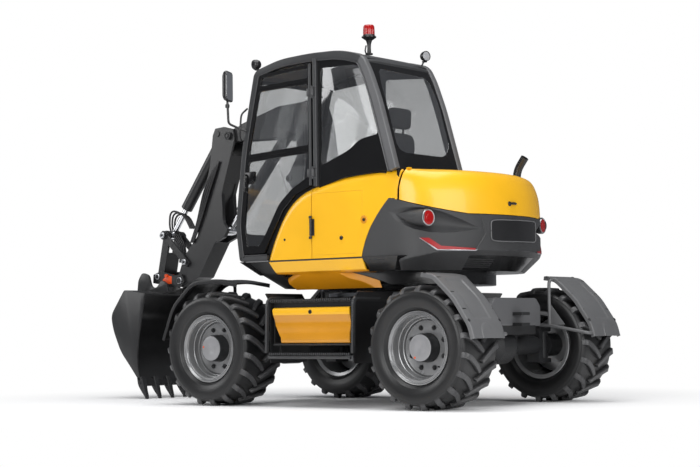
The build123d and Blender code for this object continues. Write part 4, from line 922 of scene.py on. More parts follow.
# Plate field, stripe and its silver edge lie on the tail's skin
plate_turn = np.linspace(0, 2 * np.pi, 160, endpoint=False)
squarish = (np.abs(np.cos(plate_turn)) ** 9 + np.abs(np.sin(plate_turn)) ** 9) ** (-1 / 9)
plate_middle, plate_level = radians(182.2), 1.405
plate_angle = plate_middle + radians(15.3) * squarish * np.cos(plate_turn)
plate_z = plate_level + 0.0075 * np.cos(plate_turn) + 0.086 * squarish * np.sin(plate_turn)
border = house_points(plate_angle, plate_z, -0.0005)
border_bead = carried(border, circle(0.0045, 8), closed=True)
put_piece("plate_border", [border_bead], mid_grey, "turret")
share = np.linspace(0, 1, 14)[:, None]
field_angle = plate_middle + radians(14.9) * share * squarish * np.cos(plate_turn)
field_z = plate_level + 0.0075 * np.cos(plate_turn) * share + 0.083 * share * squarish * np.sin(plate_turn)
field_points = house_points(field_angle, field_z, 0.0018).reshape(-1, 3)
field_sheet = (field_points, grid_faces(14, 160, False, True))
put_piece("plate_field", [field_sheet], front_black, "turret")
stripes = {"red": [], "silver": []}
for side in (1, -1):
    for name, top_line, low_line, proud in (
        (
            "red", [(142.0, 1.334), (146.3, 1.271), (159.8, 1.2545)],
            [(138.9, 1.334), (145.2, 1.243), (159.6, 1.241)], -0.004,
        ),
        (
            "silver", [(139.5, 1.332), (145.3, 1.243), (160.6, 1.2465)],
            [(138.6, 1.334), (145.0, 1.2335), (160.0, 1.2335)], -0.0025,
        ),
    ):
        along_stripe = np.linspace(0, 1, 60)[:, None]
        down_stripe = np.linspace(0, 1, 5)[None, :]
        knots = [0, 0.3, 1]
        top_turn, top_rise = (np.interp(along_stripe, knots, [row[i] for row in top_line]) for i in (0, 1))
        low_turn, low_rise = (np.interp(along_stripe, knots, [row[i] for row in low_line]) for i in (0, 1))
        bearing = top_turn + (low_turn - top_turn) * down_stripe
        level = top_rise + (low_rise - top_rise) * down_stripe
        inset = proud + np.clip(1.239 - level, 0, 1)
        sheet = house_points(radians(1) * bearing, level, inset) * [1, side, 1]
        stripes[name].append(rimmed(sheet, 0.006))
stripe_red = finish("stripe_red", (0.33, 0.004, 0.006), 0.4, coat=0.1, drift=0.05)
put_piece("tail_stripes", stripes["red"], stripe_red, "turret")
put_piece("tail_stripe_edges", stripes["silver"], steel, "turret")

# Hood and the fixed cover beside it: one skin, parted by a straight seam on the right
wall_rows = np.linspace(0, 1, 34)
roof_rows = np.linspace(0, 1, 12)[1:]
left_columns = np.linspace(0, 1, 220)
right_columns = np.linspace(0, 1, 60)


def hood_skin(columns, first_edge, last_edge):
    """Wall rows run from the seam up the section curve, then roof rows run level to the front.
    Each edge gives the angle of its end of a wall row, from the row's height and inset."""
    up = wall_rows[:, None]
    nominal = 1.60 + (hood_top - 1.60) * up
    ease_in = hood_lean(nominal)
    start, end = first_edge(nominal, ease_in), last_edge(nominal, ease_in)
    angle = start + (end - start) * columns[None, :]
    flat = house_points(angle, 0 * angle, 0.003)
    low = seam_height(flat[..., 0] - slew_x)
    z = low + (hood_top - low) * up
    soft_front = 0.36 + 0.64 * fade(np.degrees(np.pi - np.abs(np.pi - angle)), 131, 146)
    wall = house_points(angle, z, hood_lean(z) * soft_front)
    roof_x = wall[-1, :, 0] + (slew_x - 0.873 - wall[-1, :, 0]) * roof_rows[:, None]
    roof_y = np.broadcast_to(wall[-1, :, 1], roof_x.shape)
    forward_swell = 0.014 * np.sin(np.pi * np.clip(roof_rows, 0, 0.5))[:, None]
    crown = forward_swell * np.clip(1 - (roof_y / 0.9) ** 2, 0, 1)
    return np.concatenate([wall, np.stack([roof_x, roof_y, hood_top + crown], -1)])


def left_hood_edge(z, inset):
    """The hood's side ends behind the cab and steps back as it rises past its hinge."""
    end_x = np.interp(z, [1.72, 1.80, 1.88], [-0.8355, -0.850, -0.873]) - 0.02
    return np.arctan2(house_half - inset * 0.4, end_x)


def seam_angle(y, inset):
    """The angle at which the rear arc, less the inset, reaches a place on the right."""
    return np.pi + np.arcsin(y / (tail_reach - inset))


def hood_seam(z, inset):
    """The hood's right edge."""
    return seam_angle(0.430, inset)


def cover_seam(z, inset):
    """The fixed cover's edge beside it, 3 mm on."""
    return seam_angle(0.433, inset)


def right_hood_edge(z, inset):
    """The left edge mirrored."""
    return 2 * np.pi - left_hood_edge(z, inset)


# Columns: piece, columns of its grid, its two edges, body, solid it stands for, a column that
# faces the rear
for name, columns, first_edge, last_edge, body, solid, rear_column in (
    ("hood_shell", left_columns, left_hood_edge, hood_seam, "hood", "engine_hood", 110),
    ("right_rear_shell", right_columns, cover_seam, right_hood_edge, "turret", "right_rear_cover", 5),
):
    grid = hood_skin(columns, first_edge, last_edge)
    inward = normals(grid) * -np.sign((normals(grid)[10, rear_column] * [-1, 0, 0]).sum())
    put_piece(name, [thickened(grid, panel_wall, inward)], yellow, body, [solid], 40)

# Left side: the panel's front part, its rear part and the hatch are cut from one skin
edge_line = eased(
    [
        (0.524, 1.226), (0.445, 1.413), (0.333, 1.598), (0.202, 1.714), (0.030, 1.786), (-0.305, 1.850),
        (-0.60, 1.870), (-0.872, 1.879),
    ],
    2,
)


def panel_skin(x, z):
    """Flat side with its upper edge rolled in, leaning in above an arched crease. The arch is
    the ellipse ((x - 0.03) / 0.56)^2 + ((z - 1.40) / 0.324)^2 = 1."""
    edge_z = np.interp(-x, -edge_line[:, 0], edge_line[:, 1])
    slope = np.interp(-x, [-0.524, -0.33, -0.12, 0.3], [0.40, 0.62, 0.90, 0.99])
    below_edge = np.clip((edge_z - z) * slope, 0, 1)
    roll = 0.030 * np.clip(1 - below_edge / 0.062, 0, 1) ** 2
    arch = np.sqrt(((x - 0.03) / 0.56) ** 2 + ((z - 1.40) / 0.324) ** 2)
    lean = 0.024 * np.clip(arch - 1.02, 0, 0.5) * (1 - fade(x, 0.08, 0.30)) * fade(z, 1.42, 1.52)
    to_hood = fade(-x, 0.55, 0.80)
    inset = (roll + lean) * (1 - to_hood) + hood_lean(np.maximum(z, 1.5)) * 0.36 * to_hood
    return house_points(angle_at(x, inset), z, inset)


def panel_piece(name, x, z, keep, body, replaced):
    """Cut a piece from the skin: quads whose mask is set, with a turned-in rim of their own."""
    grid = panel_skin(x, z)
    points, faces = thickened(grid, panel_wall, normals(grid) * -np.sign(normals(grid)[5, 5, 1]))
    chosen = np.flatnonzero(keep.reshape(-1))
    quads = grid_faces(*x.shape)[chosen]
    edges = np.concatenate([quads[:, [0, 1]], quads[:, [1, 2]], quads[:, [2, 3]], quads[:, [3, 0]]])
    edges = np.sort(edges, axis=1)
    lone, times = np.unique(edges, axis=0, return_counts=True)
    rim = lone[times == 1]
    base = x.size
    strips = np.stack([rim[:, 0], rim[:, 1], rim[:, 1] + base, rim[:, 0] + base], -1)
    used, compact = np.unique(np.concatenate([quads, quads + base, strips]), return_inverse=True)
    return put_piece(name, [(points[used], compact.reshape(-1, 4))], yellow, body, replaced, 40)


panel_foot, panel_top, over_hatch = 1.203, 1.879, 1.7308
rise = np.concatenate([np.linspace(0, 0.8, 26), 1 - 0.2 * np.linspace(1, 0, 20)[1:] ** 1.4])[:, None]
x = np.linspace(0.518, 0.0450, 60)[None, :] + 0 * rise
top = np.interp(-x, -edge_line[:, 0], edge_line[:, 1])
z = panel_foot + (top - panel_foot) * rise
every_quad = np.ones((x.shape[0] - 1, x.shape[1] - 1), bool)
panel_piece("left_panel_front", x, z, every_quad, "turret", ["side_panel_left"])
# Rows run up to a hairline below the hatch, over the hatch, and on above it
low_run, hatch_run = np.linspace(panel_foot, 1.2298, 3), np.linspace(1.2304, 1.7298, 52)
top_run = over_hatch + (panel_top - over_hatch) * (1 - (1 - np.linspace(0, 1, 26)) ** 1.25)
row_z = np.concatenate([low_run, hatch_run, top_run])[:, None]
rear_x = np.interp(row_z, [1.203, 1.657, 1.72, 1.80, 1.88], [0, 0, -0.832, -0.847, -0.870])
climb = np.clip((row_z - 1.2) / 0.457, 0, 1)
rear_x = np.where(row_z < 1.64, -0.470 - 0.10 * climb - 0.182 * climb**2.2, rear_x)
rear_x = np.where((row_z >= 1.64) & (row_z < 1.72), np.minimum(-0.832, rear_x), rear_x)
hatch_rear_x = np.interp(row_z, [1.23, 1.40, 1.73], [-0.420, -0.480, -0.480])
hatch_share, behind_share = np.linspace(0, 1, 50)[None, :], np.linspace(0, 1, 44)[None, :]
hatch_front_x, hairline = 0.0385, 0.0003
hatch_x = hatch_front_x + (hatch_rear_x + hairline - hatch_front_x) * hatch_share
behind_x = hatch_rear_x - hairline + (rear_x - hatch_rear_x + hairline) * behind_share
x = np.concatenate([hatch_x, behind_x], 1)
top = np.interp(-x, -edge_line[:, 0], edge_line[:, 1])
upper_z = over_hatch + (top - over_hatch) * (row_z - over_hatch) / (panel_top - over_hatch)
z = np.where(row_z > 1.7301, upper_z, row_z + 0 * x)
hatch_quads = np.zeros((x.shape[0] - 1, x.shape[1] - 1), bool)
hatch_quads[3:54, 0:49] = True
panel_piece("side_hatch_skin", x, z, hatch_quads, "hatch", ["side_hatch"])
rest = np.ones_like(hatch_quads)
rest[2:55, 0:50] = False
corner_x, corner_z = x[:-1, :-1], z[:-1, :-1]
rest &= (corner_z > seam_height(corner_x) - 0.004) | (corner_x > -0.76)
panel_piece("left_panel_rear", x, z, rest, "turret", [])
knob_profile = [(0, 0), (0.016, 0), (0.016, 0.007), (0.012, 0.011), (0, 0.011)]
fittings = [
    turned(knob_profile, 28, (slew_x - 0.269, 0.948, 1.360), (0, 1, 0)),
    turned([(0, 0), (0.012, 0), (0.012, 0.010), (0, 0.010)], 24, (slew_x - 0.500, 0.946, 1.494), (0, 1, 0)),
    carried([(slew_x + 0.043, 0.960, 1.389), (slew_x + 0.043, 0.960, 1.526)], circle(0.011, 16), (1, 0, 0)),
    strap((0.012, 0.041), (1.389, 1.526), 0.948, 0.956),
]
put_piece("hatch_fittings", fittings, front_black, "hatch")
cup_profile = [(0.010, 0.0006), (0.020, 0.0012), (0.0285, 0.0045), (0.0305, 0.0045), (0.0325, 0.0)]
cup = turned(cup_profile, 48, (slew_x - 0.496, 0.947, 1.496), (0, 1, 0))
# The key cup takes the darkened yellow as painted shade of its recess.
put_piece("hatch_key_cup", [cup], yellow_painted_shade, "hatch")
disc_profile = [(0, 0), (0.010, 0), (0.010, 0.004), (0, 0.004)]
lugs = [turned(disc_profile, 24, (slew_x + 0.332, 0.947, 1.369), (0, 1, 0))]
for low in (1.365, 1.530):
    hinge_line = [(slew_x + 0.043, 0.960, low), (slew_x + 0.043, 0.960, low + 0.020)]
    lugs.append(carried(hinge_line, circle(0.010, 16), (1, 0, 0)))
    lugs.append(strap((0.044, 0.066), (low, low + 0.020), 0.947, 0.958))
put_piece("panel_fittings", lugs, front_black, "turret")
# A near black sheet stands just inside the left panel, so the gaps round the hatch show dark: painted shade
# in the gaps.
behind = np.array(
    [
        (0.60, 1.206), (0.49, 1.43), (0.38, 1.62), (0.24, 1.76), (0.02, 1.835), (-0.30, 1.88),
        (-0.70, 1.89), (-0.70, 1.66), (-0.49, 1.206),
    ]
)
backing = plate(behind + [slew_x, 0], 0.900, 0.910, "xzy", 0.002)
put_piece("panel_backing", [backing], hole_shade_paint, "turret")

# Skirts: the yellow one under the left side, and the dark one that curves round the nose
skirt_top, skirt_fall, skirt_bend = 1.196, 0.238, 1.104
rows, columns = np.linspace(0, 1, 34)[:, None], np.linspace(0, 1, 90)[None, :]
front_x = 0.512 - 0.165 * rows**1.3
back_x = -0.474 - 0.048 * rows**1.5
x = front_x + (back_x - front_x) * columns
z = skirt_top - skirt_fall * rows + 0 * x
upper_part = 0.945 - 0.33 * np.clip(skirt_top - z, 0, 0.09)
wall_in = 0.90 * np.clip(skirt_bend - z, 0, 1)
hollow = 0.012 * np.exp(-(((x - 0.02) / 0.17) ** 2)) * fade(skirt_bend - z, -0.01, 0.03)
bulge = 0.020 * np.exp(-(((x + 0.30) / 0.07) ** 2) - ((z - 1.06) / 0.05) ** 2)
y = upper_part - wall_in - hollow + bulge
low_clear = np.sqrt(0.915**2 - x**2)
y = np.where(z < 1.085, np.minimum(y, low_clear), y)
skirt_grid = np.stack([slew_x + x, y, z], -1)
upper_rows = int((rows[:, 0] < (skirt_top - skirt_bend) / skirt_fall).sum()) + 1
upper_skirt, lower_skirt = (
    rimmed(skirt_grid[:upper_rows], 0.012), rimmed(skirt_grid[upper_rows - 1 :], 0.012)
)
# The lower skirt slopes in under the house: its darker orange is painted shade of that downward face, on
# the same yellow as the band above.
put_piece("left_skirt_upper", [upper_skirt], yellow, "turret", (), 24)
put_piece("left_skirt_lower", [lower_skirt], yellow_painted_shade, "turret", (), 24)
run = np.linspace(0, 1, 80)[None, :]
down = np.linspace(0, 1, 24)[:, None]
nose_z = 1.197 - 0.225 * down + 0 * run
nose_half = np.interp(nose_z, [0.96, 1.09, 1.2], [0.735, 0.882, 0.949])
nose_front = np.interp(nose_z, [0.96, 1.09, 1.2], [0.560, 0.712, 0.862])
bent = 0.5 * np.pi * np.clip((run - 0.35) / 0.30, 0, 1)
corner = 0.13
nose_back = 0.515 - 0.165 * down**1.3
nose_side = nose_back + (nose_front - corner - nose_back) * run / 0.35
nose_x = np.where(run < 0.35, nose_side, nose_front - corner + corner * np.sin(bent))
nose_bend = nose_half - corner + corner * np.cos(bent)
nose_y = nose_bend - np.clip((run - 0.65) / 0.35, 0, 1) * (nose_half - corner - 0.025)
nose_grid = np.stack([slew_x + nose_x, nose_y, nose_z], -1)
bead = nose_grid[0] + [0, 0, 0.001]
put_piece("nose_skirt", [rimmed(nose_grid, 0.020)], charcoal, "turret", (), 30)
put_piece("nose_skirt_bead", [carried(bead, circle(0.006, 8))], mid_grey, "turret")


# Cab. Two hoops of formed steel tube are joined by the roof. Black bonded
# masks hold the glass, and the door's three panes sit in one thin frame on the middle pillar.
def glass_material(name, tint, gloss_color):
    """Tinted safety glass: light passes straight through with a tint, and the face adds the
    gloss of the room, weak head on and strong at a grazing angle by Layer Weight."""
    material, parts, links, output = new_material(name)
    clear = parts.new("ShaderNodeBsdfTransparent")
    clear.inputs["Color"].default_value = (*tint, 1)
    gloss = parts.new("ShaderNodeBsdfGlossy")
    gloss.inputs["Color"].default_value = (*gloss_color, 1)
    gloss.inputs["Roughness"].default_value = 0.05
    edge = parts.new("ShaderNodeLayerWeight")
    edge.inputs["Blend"].default_value = 0.35
    shine = parts.new("ShaderNodeMapRange")
    shine.inputs["To Min"].default_value = 0.05
    shine.inputs["To Max"].default_value = 0.75
    links.new(edge.outputs["Facing"], shine.inputs["Value"])
    mix = parts.new("ShaderNodeMixShader")
    links.new(shine.outputs[0], mix.inputs[0])
    links.new(clear.outputs[0], mix.inputs[1])
    links.new(gloss.outputs[0], mix.inputs[2])
    links.new(mix.outputs[0], output.inputs["Surface"])
    return material


def around(outline, center, angles):
    """Where rays from the center at these angles meet a closed outline, in two dimensions."""
    a = np.asarray(outline, float) - center
    b = np.roll(a, -1, 0)
    ray = np.stack([np.cos(angles), np.sin(angles)], -1)
    span = b - a
    cross = ray[:, None, 0] * span[None, :, 1] - ray[:, None, 1] * span[None, :, 0]
    cross = np.where(np.abs(cross) < 1e-12, 1e-12, cross)
    reach = (a[None, :, 0] * span[None, :, 1] - a[None, :, 1] * span[None, :, 0]) / cross
    share = (a[None, :, 0] * ray[:, None, 1] - a[None, :, 1] * ray[:, None, 0]) / cross
    good = (reach > 0) & (share > -1e-6) & (share < 1 + 1e-6)
    reach = np.where(good, reach, 1e9).min(1)
    return center + ray * reach[:, None]


def rounded_loop(corners, cut, steps=7):
    """A closed outline with every corner swept."""
    line = np.asarray(corners, float)
    return rounded(np.concatenate([line[-1:], line, line[:1]]), cut, steps)[1:-1]


def box_section(half_width, half_height, cut, steps=7):
    """A rectangular section with swept corners, for a bar that is carried along a path."""
    w, h = half_width, half_height
    return rounded_loop([(-w, -h), (w, -h), (w, h), (-w, h)], cut, steps)


def mask(outer, inner, low, high, plane, edge=0.002):
    """A thin plate between an outer and an inner outline, met by rays from the middle."""
    outer, inner = np.asarray(outer, float), np.asarray(inner, float)
    center = (inner.max(0) + inner.min(0)) / 2
    bearings = [np.arctan2(*(line - center).T[::-1]) for line in (outer, inner)]
    angles = np.unique(np.round(np.concatenate([*bearings, np.linspace(-np.pi, np.pi, 73)[:-1]]), 5))
    outside, inside = around(outer, center, angles), around(inner, center, angles)
    away = (outside - inside) / np.maximum(np.linalg.norm(outside - inside, axis=1, keepdims=True), 1e-6)
    rows = [
        (outside, low), (outside, high - edge), (outside - away * edge, high),
        (inside + away * edge, high), (inside, high - edge), (inside, low),
    ]
    points = np.stack([np.column_stack([line, np.full(len(line), level)]) for line, level in rows])
    points = points[..., [plane.index(letter) for letter in "xyz"]]
    return points.reshape(-1, 3), grid_faces(len(rows), len(angles), True, True)


def placed(shell, offset=(slew_x, 0, 0)):
    """A shell moved from the slewing axis to the frame's own origin."""
    return shell[0] + np.asarray(offset), shell[1]


def tube_section(steps=5, corner=0.010, half=0.030):
    """Rounded box section. The first direction runs from 0 at the outer line to 1 inward."""
    quarter = np.linspace(0, 0.5 * np.pi, steps)
    curve = np.stack([1 - np.sin(quarter), 1 - np.cos(quarter)], -1)
    a, b = curve[:, 0] * 0.16, curve[:, 1] * corner
    first = np.stack([a, half - b], -1)
    top = np.stack([1 - a[::-1], half - b[::-1]], -1)
    upper = np.concatenate([first[np.argsort(first[:, 0])], top])
    return np.concatenate([upper, (upper * [1, -1])[::-1]])


cab_pane = glass_material("tinted_glass", (0.92, 0.925, 0.925), (0.75, 0.75, 0.76))
cab_grey = finish(
    "cab_grey", (0.040, 0.041, 0.043), 0.34, drift=0.08, grain=0.08, grain_size=0.0015, edge=0.004
)
pillar_grey = finish(
    "pillar_grey", (0.105, 0.106, 0.110), 0.36, drift=0.06, grain=0.08, grain_size=0.0015, edge=0.004
)
mask_black = finish("mask_black", (0.006, 0.006, 0.0065), 0.16, drift=0.1)
# Columns: x, z and width of the hoop's tube
hoop = np.array([
    (0.530, 1.203, 0.055),
    (0.836, 1.203, 0.055),
    (0.878, 1.500, 0.056),
    (0.799, 2.150, 0.056),
    (0.655, 2.796, 0.060),
    (0.370, 2.868, 0.066),
    (0.050, 2.884, 0.070),
    (-0.270, 2.876, 0.074),
    (-0.497, 2.820, 0.080),
    (-0.575, 2.675, 0.086),
    (-0.668, 2.430, 0.090),
    (-0.762, 2.110, 0.092),
    (-0.826, 1.888, 0.092),
])
bent_hoop = rounded(hoop, [0.03, 0.10, 0.12, 0.055, 0.10, 0.10, 0.10, 0.07, 0.06, 0.08, 0.08])
split = np.argmin(np.abs(bent_hoop[:, 0] + 0.497) + np.abs(bent_hoop[:, 1] - 2.820))


def hoop_tube(rail, y):
    """A stretch of the hoop's line as a tube at one side of the cab."""
    path = np.stack([slew_x + rail[:, 0], np.full(len(rail), y), rail[:, 1]], -1)
    girth = np.column_stack([rail[:, 2], np.ones(len(rail))])
    return carried(path, tube_section(), (0, 1, 0), spread=girth)


for side, y, name in ((1, 0.920, "left"), (-1, 0.050, "right")):
    rail = bent_hoop[: split + 1]
    shells = [hoop_tube(rail, y)]
    if name == "left":
        door_post = [(slew_x - 0.008, 0.935, 1.790), (slew_x - 0.008, 0.935, 2.835)]
        shells.append(carried(door_post, box_section(0.026, 0.017, 0.008), (1, 0, 0)))
        for z in (1.9, 2.56):
            for low in (z - 0.05, z + 0.035):
                shells.append(strap((-0.017, 0.016), (low, low + 0.015), 0.945, 0.973))
        for y_hinge in (0.140, 0.700):
            hood_pin = [(slew_x - 0.850, y_hinge - 0.048, 1.850), (slew_x - 0.850, y_hinge + 0.048, 1.850)]
            shells.append(carried(hood_pin, circle(0.007)))
            for low in (-0.048, 0.034):
                lug_y = y_hinge + low
                shells.append(strap((-0.860, -0.826), (1.836, 1.864), lug_y, lug_y + 0.014, 0.001))
    stands_for = ["cab_frame"] if side > 0 else []
    put_piece("cab_hoop_" + name, shells, cab_grey, "turret", stands_for, 32)
    pillar = hoop_tube(bent_hoop[split:], y)
    put_piece("rear_pillar_" + name, [pillar], pillar_grey, "turret", (), 32)

# Masks and panes of the two sides
side_pane = rounded_loop(
    [
        (-0.058, 2.752), (-0.058, 1.960), (-0.230, 2.020), (-0.350, 2.066), (-0.450, 2.140),
        (-0.640, 2.170), (-0.540, 2.500), (-0.455, 2.740),
    ],
    [0.03, 0.02, 0.06, 0.05, 0.05, 0.03, 0.08, 0.06],
)
side_field = [
    (-0.030, 2.835), (-0.030, 1.776), (-0.305, 1.846), (-0.60, 1.864), (-0.775, 1.878), (-0.765, 1.92),
    (-0.715, 2.110), (-0.625, 2.430), (-0.530, 2.665), (-0.455, 2.775), (-0.270, 2.825),
]
right_front_field = [
    (0.030, 2.82), (0.37, 2.81), (0.60, 2.755), (0.75, 2.150), (0.825, 1.5), (0.800, 1.225), (0.030, 1.225)
]
right_front_pane = rounded_loop(
    [(0.060, 2.75), (0.560, 2.71), (0.715, 2.12), (0.775, 1.50), (0.060, 1.50)], 0.035
)
right_rear_field = [
    (0.030, 2.82), (0.030, 1.225), (-0.79, 1.225), (-0.79, 1.90), (-0.715, 2.110), (-0.625, 2.430),
    (-0.530, 2.665), (-0.455, 2.775), (-0.270, 2.825),
]
right_rear_pane = rounded_loop(
    [(-0.030, 2.75), (-0.030, 1.76), (-0.690, 1.95), (-0.545, 2.50), (-0.465, 2.72)], 0.035
)
masks = [
    placed(mask(side_field, side_pane, 0.925, 0.934, "xzy")),
    placed(mask(right_front_field, right_front_pane, 0.028, 0.038, "xzy")),
    placed(mask(right_rear_field, right_rear_pane, 0.028, 0.038, "xzy")),
]
panes = [placed(plate(side_pane + (side_pane - side_pane.mean(0)) * 0.02, 0.9255, 0.9300, "xzy", 0.0005))]
panes.append(placed(plate(right_front_pane, 0.0310, 0.0350, "xzy", 0.0005)))
panes.append(placed(plate(right_rear_pane, 0.0310, 0.0350, "xzy", 0.0005)))


def leaning(shell, line, sign):
    """Bend a flat shell, drawn with x = 0 as its face, onto the slope of a side outline."""
    points = shell[0].copy()
    points[:, 0] = points[:, 0] * sign + slew_x + np.interp(points[:, 2], line[:, 1], line[:, 0])
    return points, shell[1]


rear_slope = np.array(
    [(-0.824, 1.60), (-0.824, 1.888), (-0.758, 2.110), (-0.664, 2.430), (-0.571, 2.675), (-0.490, 2.820)]
)
front_slope = np.array([(0.832, 1.203), (0.874, 1.500), (0.795, 2.150), (0.651, 2.790)])


def sheet_rows(outline):
    """Extra points along an outline's long runs, so that a bent plate follows the slope."""
    closed = np.concatenate([outline, outline[:1]])
    return dense(closed, 0.05)[:-1]


rear_pane = sheet_rows(
    rounded_loop(
        [
            (0.150, 2.700), (0.800, 2.715), (0.840, 2.55), (0.850, 2.060), (0.780, 2.020), (0.230, 2.020),
            (0.115, 2.110), (0.105, 2.55),
        ],
        0.045,
    )
)
rear_field = sheet_rows(np.array([(0.085, 2.800), (0.890, 2.800), (0.890, 1.860), (0.085, 1.860)]))
masks.append(leaning(mask(rear_field, rear_pane, 0.006, 0.014, "yzx"), rear_slope, 1))
rear_core = rear_pane * 0.02 + rear_pane.mean(0) * 0.98
panes.append(leaning(mask(rear_pane, rear_core, 0.0065, 0.0105, "yzx"), rear_slope, 1))
front_pane = sheet_rows(
    rounded_loop([(0.120, 2.700), (0.850, 2.700), (0.850, 1.440), (0.120, 1.440)], 0.05)
)
front_field = sheet_rows(np.array([(0.085, 2.780), (0.885, 2.780), (0.885, 1.225), (0.085, 1.225)]))
masks.append(leaning(mask(front_field, front_pane, 0.006, 0.014, "yzx"), front_slope, -1))
front_core = front_pane * 0.02 + front_pane.mean(0) * 0.98
panes.append(leaning(mask(front_pane, front_core, 0.0065, 0.0105, "yzx"), front_slope, -1))
back_wall = [(-0.818, 1.21), (-0.818, 1.885), (-0.795, 1.885), (-0.795, 1.21)]
masks.append(placed(plate(back_wall, 0.03, 0.90, "xzy", 0.002)))
cab_floor = [(-0.82, 1.205), (0.82, 1.205), (0.83, 1.25), (-0.82, 1.25)]
masks.append(placed(plate(cab_floor, 0.03, 0.915, "xzy", 0.002)))
put_piece("cab_masks", masks, mask_black, "turret", (), 30)
put_piece("cab_panes", panes, cab_pane, "turret", ["cab_glass"], 30)

# Roof: one skin between the two hoops, crowned across and 45 mm deep
on_top = (bent_hoop[:, 1] > 2.74) & (bent_hoop[:, 0] < 0.66) & (bent_hoop[:, 0] > -0.52)
roof_line = dense(bent_hoop[on_top, :2], 0.03)
across = np.linspace(0.045, 0.925, 30)[None, :]
swell = 0.010 * (1 - ((across - 0.485) / 0.44) ** 4)
roof_x, roof_y = slew_x + roof_line[:, :1] + 0 * across, across + 0 * roof_line[:, :1]
roof_grid = np.stack([roof_x, roof_y, roof_line[:, 1:2] - 0.012 + swell], -1)
down_way = np.zeros(roof_grid.shape)
down_way[..., 2] = -1
roof = thickened(roof_grid, 0.045, down_way)
put_piece("cab_roof", [roof], cab_grey, "turret", (), 30)

# Door: three masks that meet at the two bars, its panes, the rear stile, straps and handle
# Columns: outline of the mask, outline of its pane, cut of the pane's corners
cells = [
    (
        [(0.034, 2.796), (0.596, 2.759), (0.630, 2.636), (0.034, 2.654)],
        [(0.074, 2.764), (0.574, 2.728), (0.594, 2.664), (0.074, 2.682)], 0.018,
    ),
    (
        [(0.034, 2.654), (0.630, 2.636), (0.758, 2.150), (0.765, 2.064), (0.034, 2.102)],
        [(0.074, 2.634), (0.600, 2.617), (0.716, 2.150), (0.724, 2.098), (0.074, 2.134)], 0.025,
    ),
    (
        [
            (0.034, 2.102), (0.765, 2.064), (0.826, 1.500), (0.796, 1.266), (0.562, 1.266), (0.457, 1.443),
            (0.352, 1.613), (0.217, 1.733), (0.034, 1.803),
        ],
        [
            (0.074, 2.070), (0.726, 2.034), (0.776, 1.500), (0.758, 1.330), (0.610, 1.330), (0.510, 1.480),
            (0.395, 1.668), (0.250, 1.788), (0.074, 1.858),
        ],
        0.03,
    ),
]
door_masks, door_panes = [], []
for outer, inner, cut in cells:
    inner = rounded_loop(inner, cut)
    door_masks.append(placed(mask(outer, inner, 0.927, 0.946, "xzy", 0.003)))
    core = inner * 0.02 + (inner.max(0) + inner.min(0)) * 0.49
    door_panes.append(placed(mask(inner, core, 0.931, 0.935, "xzy", 0.0005)))
latch = rounded_loop(
    [(0.655, 1.955), (0.752, 1.950), (0.752, 1.860), (0.700, 1.845), (0.665, 1.875)], 0.012
)
door_masks.append(placed(plate(latch, 0.925, 0.966, "xzy", 0.006)))
handle_x = slew_x + 0.742
door_handle = [
    (handle_x, 0.945, 1.93), (handle_x, 0.985, 1.925), (handle_x, 0.985, 1.79), (handle_x, 0.945, 1.785)
]
door_masks.append(bent_tube(door_handle, 0.009, 0.02, (1, 0, 0)))
put_piece("door_masks", door_masks, mask_black, "door", ["cab_door"], 30)
put_piece("door_panes", door_panes, cab_pane, "door", ["door_glass"], 30)
stile_line = [(slew_x + 0.048, 0.941, 1.800), (slew_x + 0.048, 0.941, 2.795)]
stile = [carried(stile_line, box_section(0.013, 0.013, 0.006), (1, 0, 0))]
for z in (1.9, 2.56):
    hinge_line = [(slew_x + 0.008, 0.965, z - 0.032), (slew_x + 0.008, 0.965, z + 0.032)]
    stile.append(carried(hinge_line, circle(0.013), (1, 0, 0)))
    stile.append(strap((0.012, 0.075), (z - 0.032, z + 0.032), 0.951, 0.959))
put_piece("door_stile", stile, cab_grey, "door", (), 32)


# Operator's seat: foam cushions under cloth, crowned and pulled in at the seams across them,
# on a moulded base between the moulded control consoles
seat_cloth = finish("seat_cloth", (0.022, 0.022, 0.024), 0.85, drift=0.2, grain=0.12, grain_size=0.003)
coat_nodes(black_moulding, "cab_controls")


def squared_up(value, share):
    """A value raised to a power that keeps its sign."""
    return np.sign(value) * np.abs(value) ** share


def cushion(spot, half, lean, seams=()):
    """A crowned pad: x = a * f(u) * g(v) and so on, where f and g are cosines and sines raised
    to a low power, which squares the pad up. Seams pull it in where they cross."""
    u = np.linspace(-0.5 * np.pi, 0.5 * np.pi, 40)[:, None]
    v = np.linspace(-np.pi, np.pi, 72, endpoint=False)[None, :]
    across = squared_up(np.cos(u), 0.45) * squared_up(np.sin(v), 0.35)
    depth = squared_up(np.cos(u), 0.45) * squared_up(np.cos(v), 0.35)
    height = squared_up(np.sin(u), 0.75) + 0 * v
    pull = 1 - sum(0.16 * np.exp(-(((depth - seam) / 0.045) ** 2)) for seam in seams)
    height = height * pull * (1 - 0.10 * (1 - across**2) * (height > 0))
    x, y, z = depth * half[0], across * half[1], height * half[2]
    turned_x, turned_z = x * np.cos(lean) - z * np.sin(lean), x * np.sin(lean) + z * np.cos(lean)
    points = np.stack([spot[0] + turned_x, spot[1] + y, spot[2] + turned_z], -1)
    return points.reshape(-1, 3), grid_faces(40, 72, False, True)


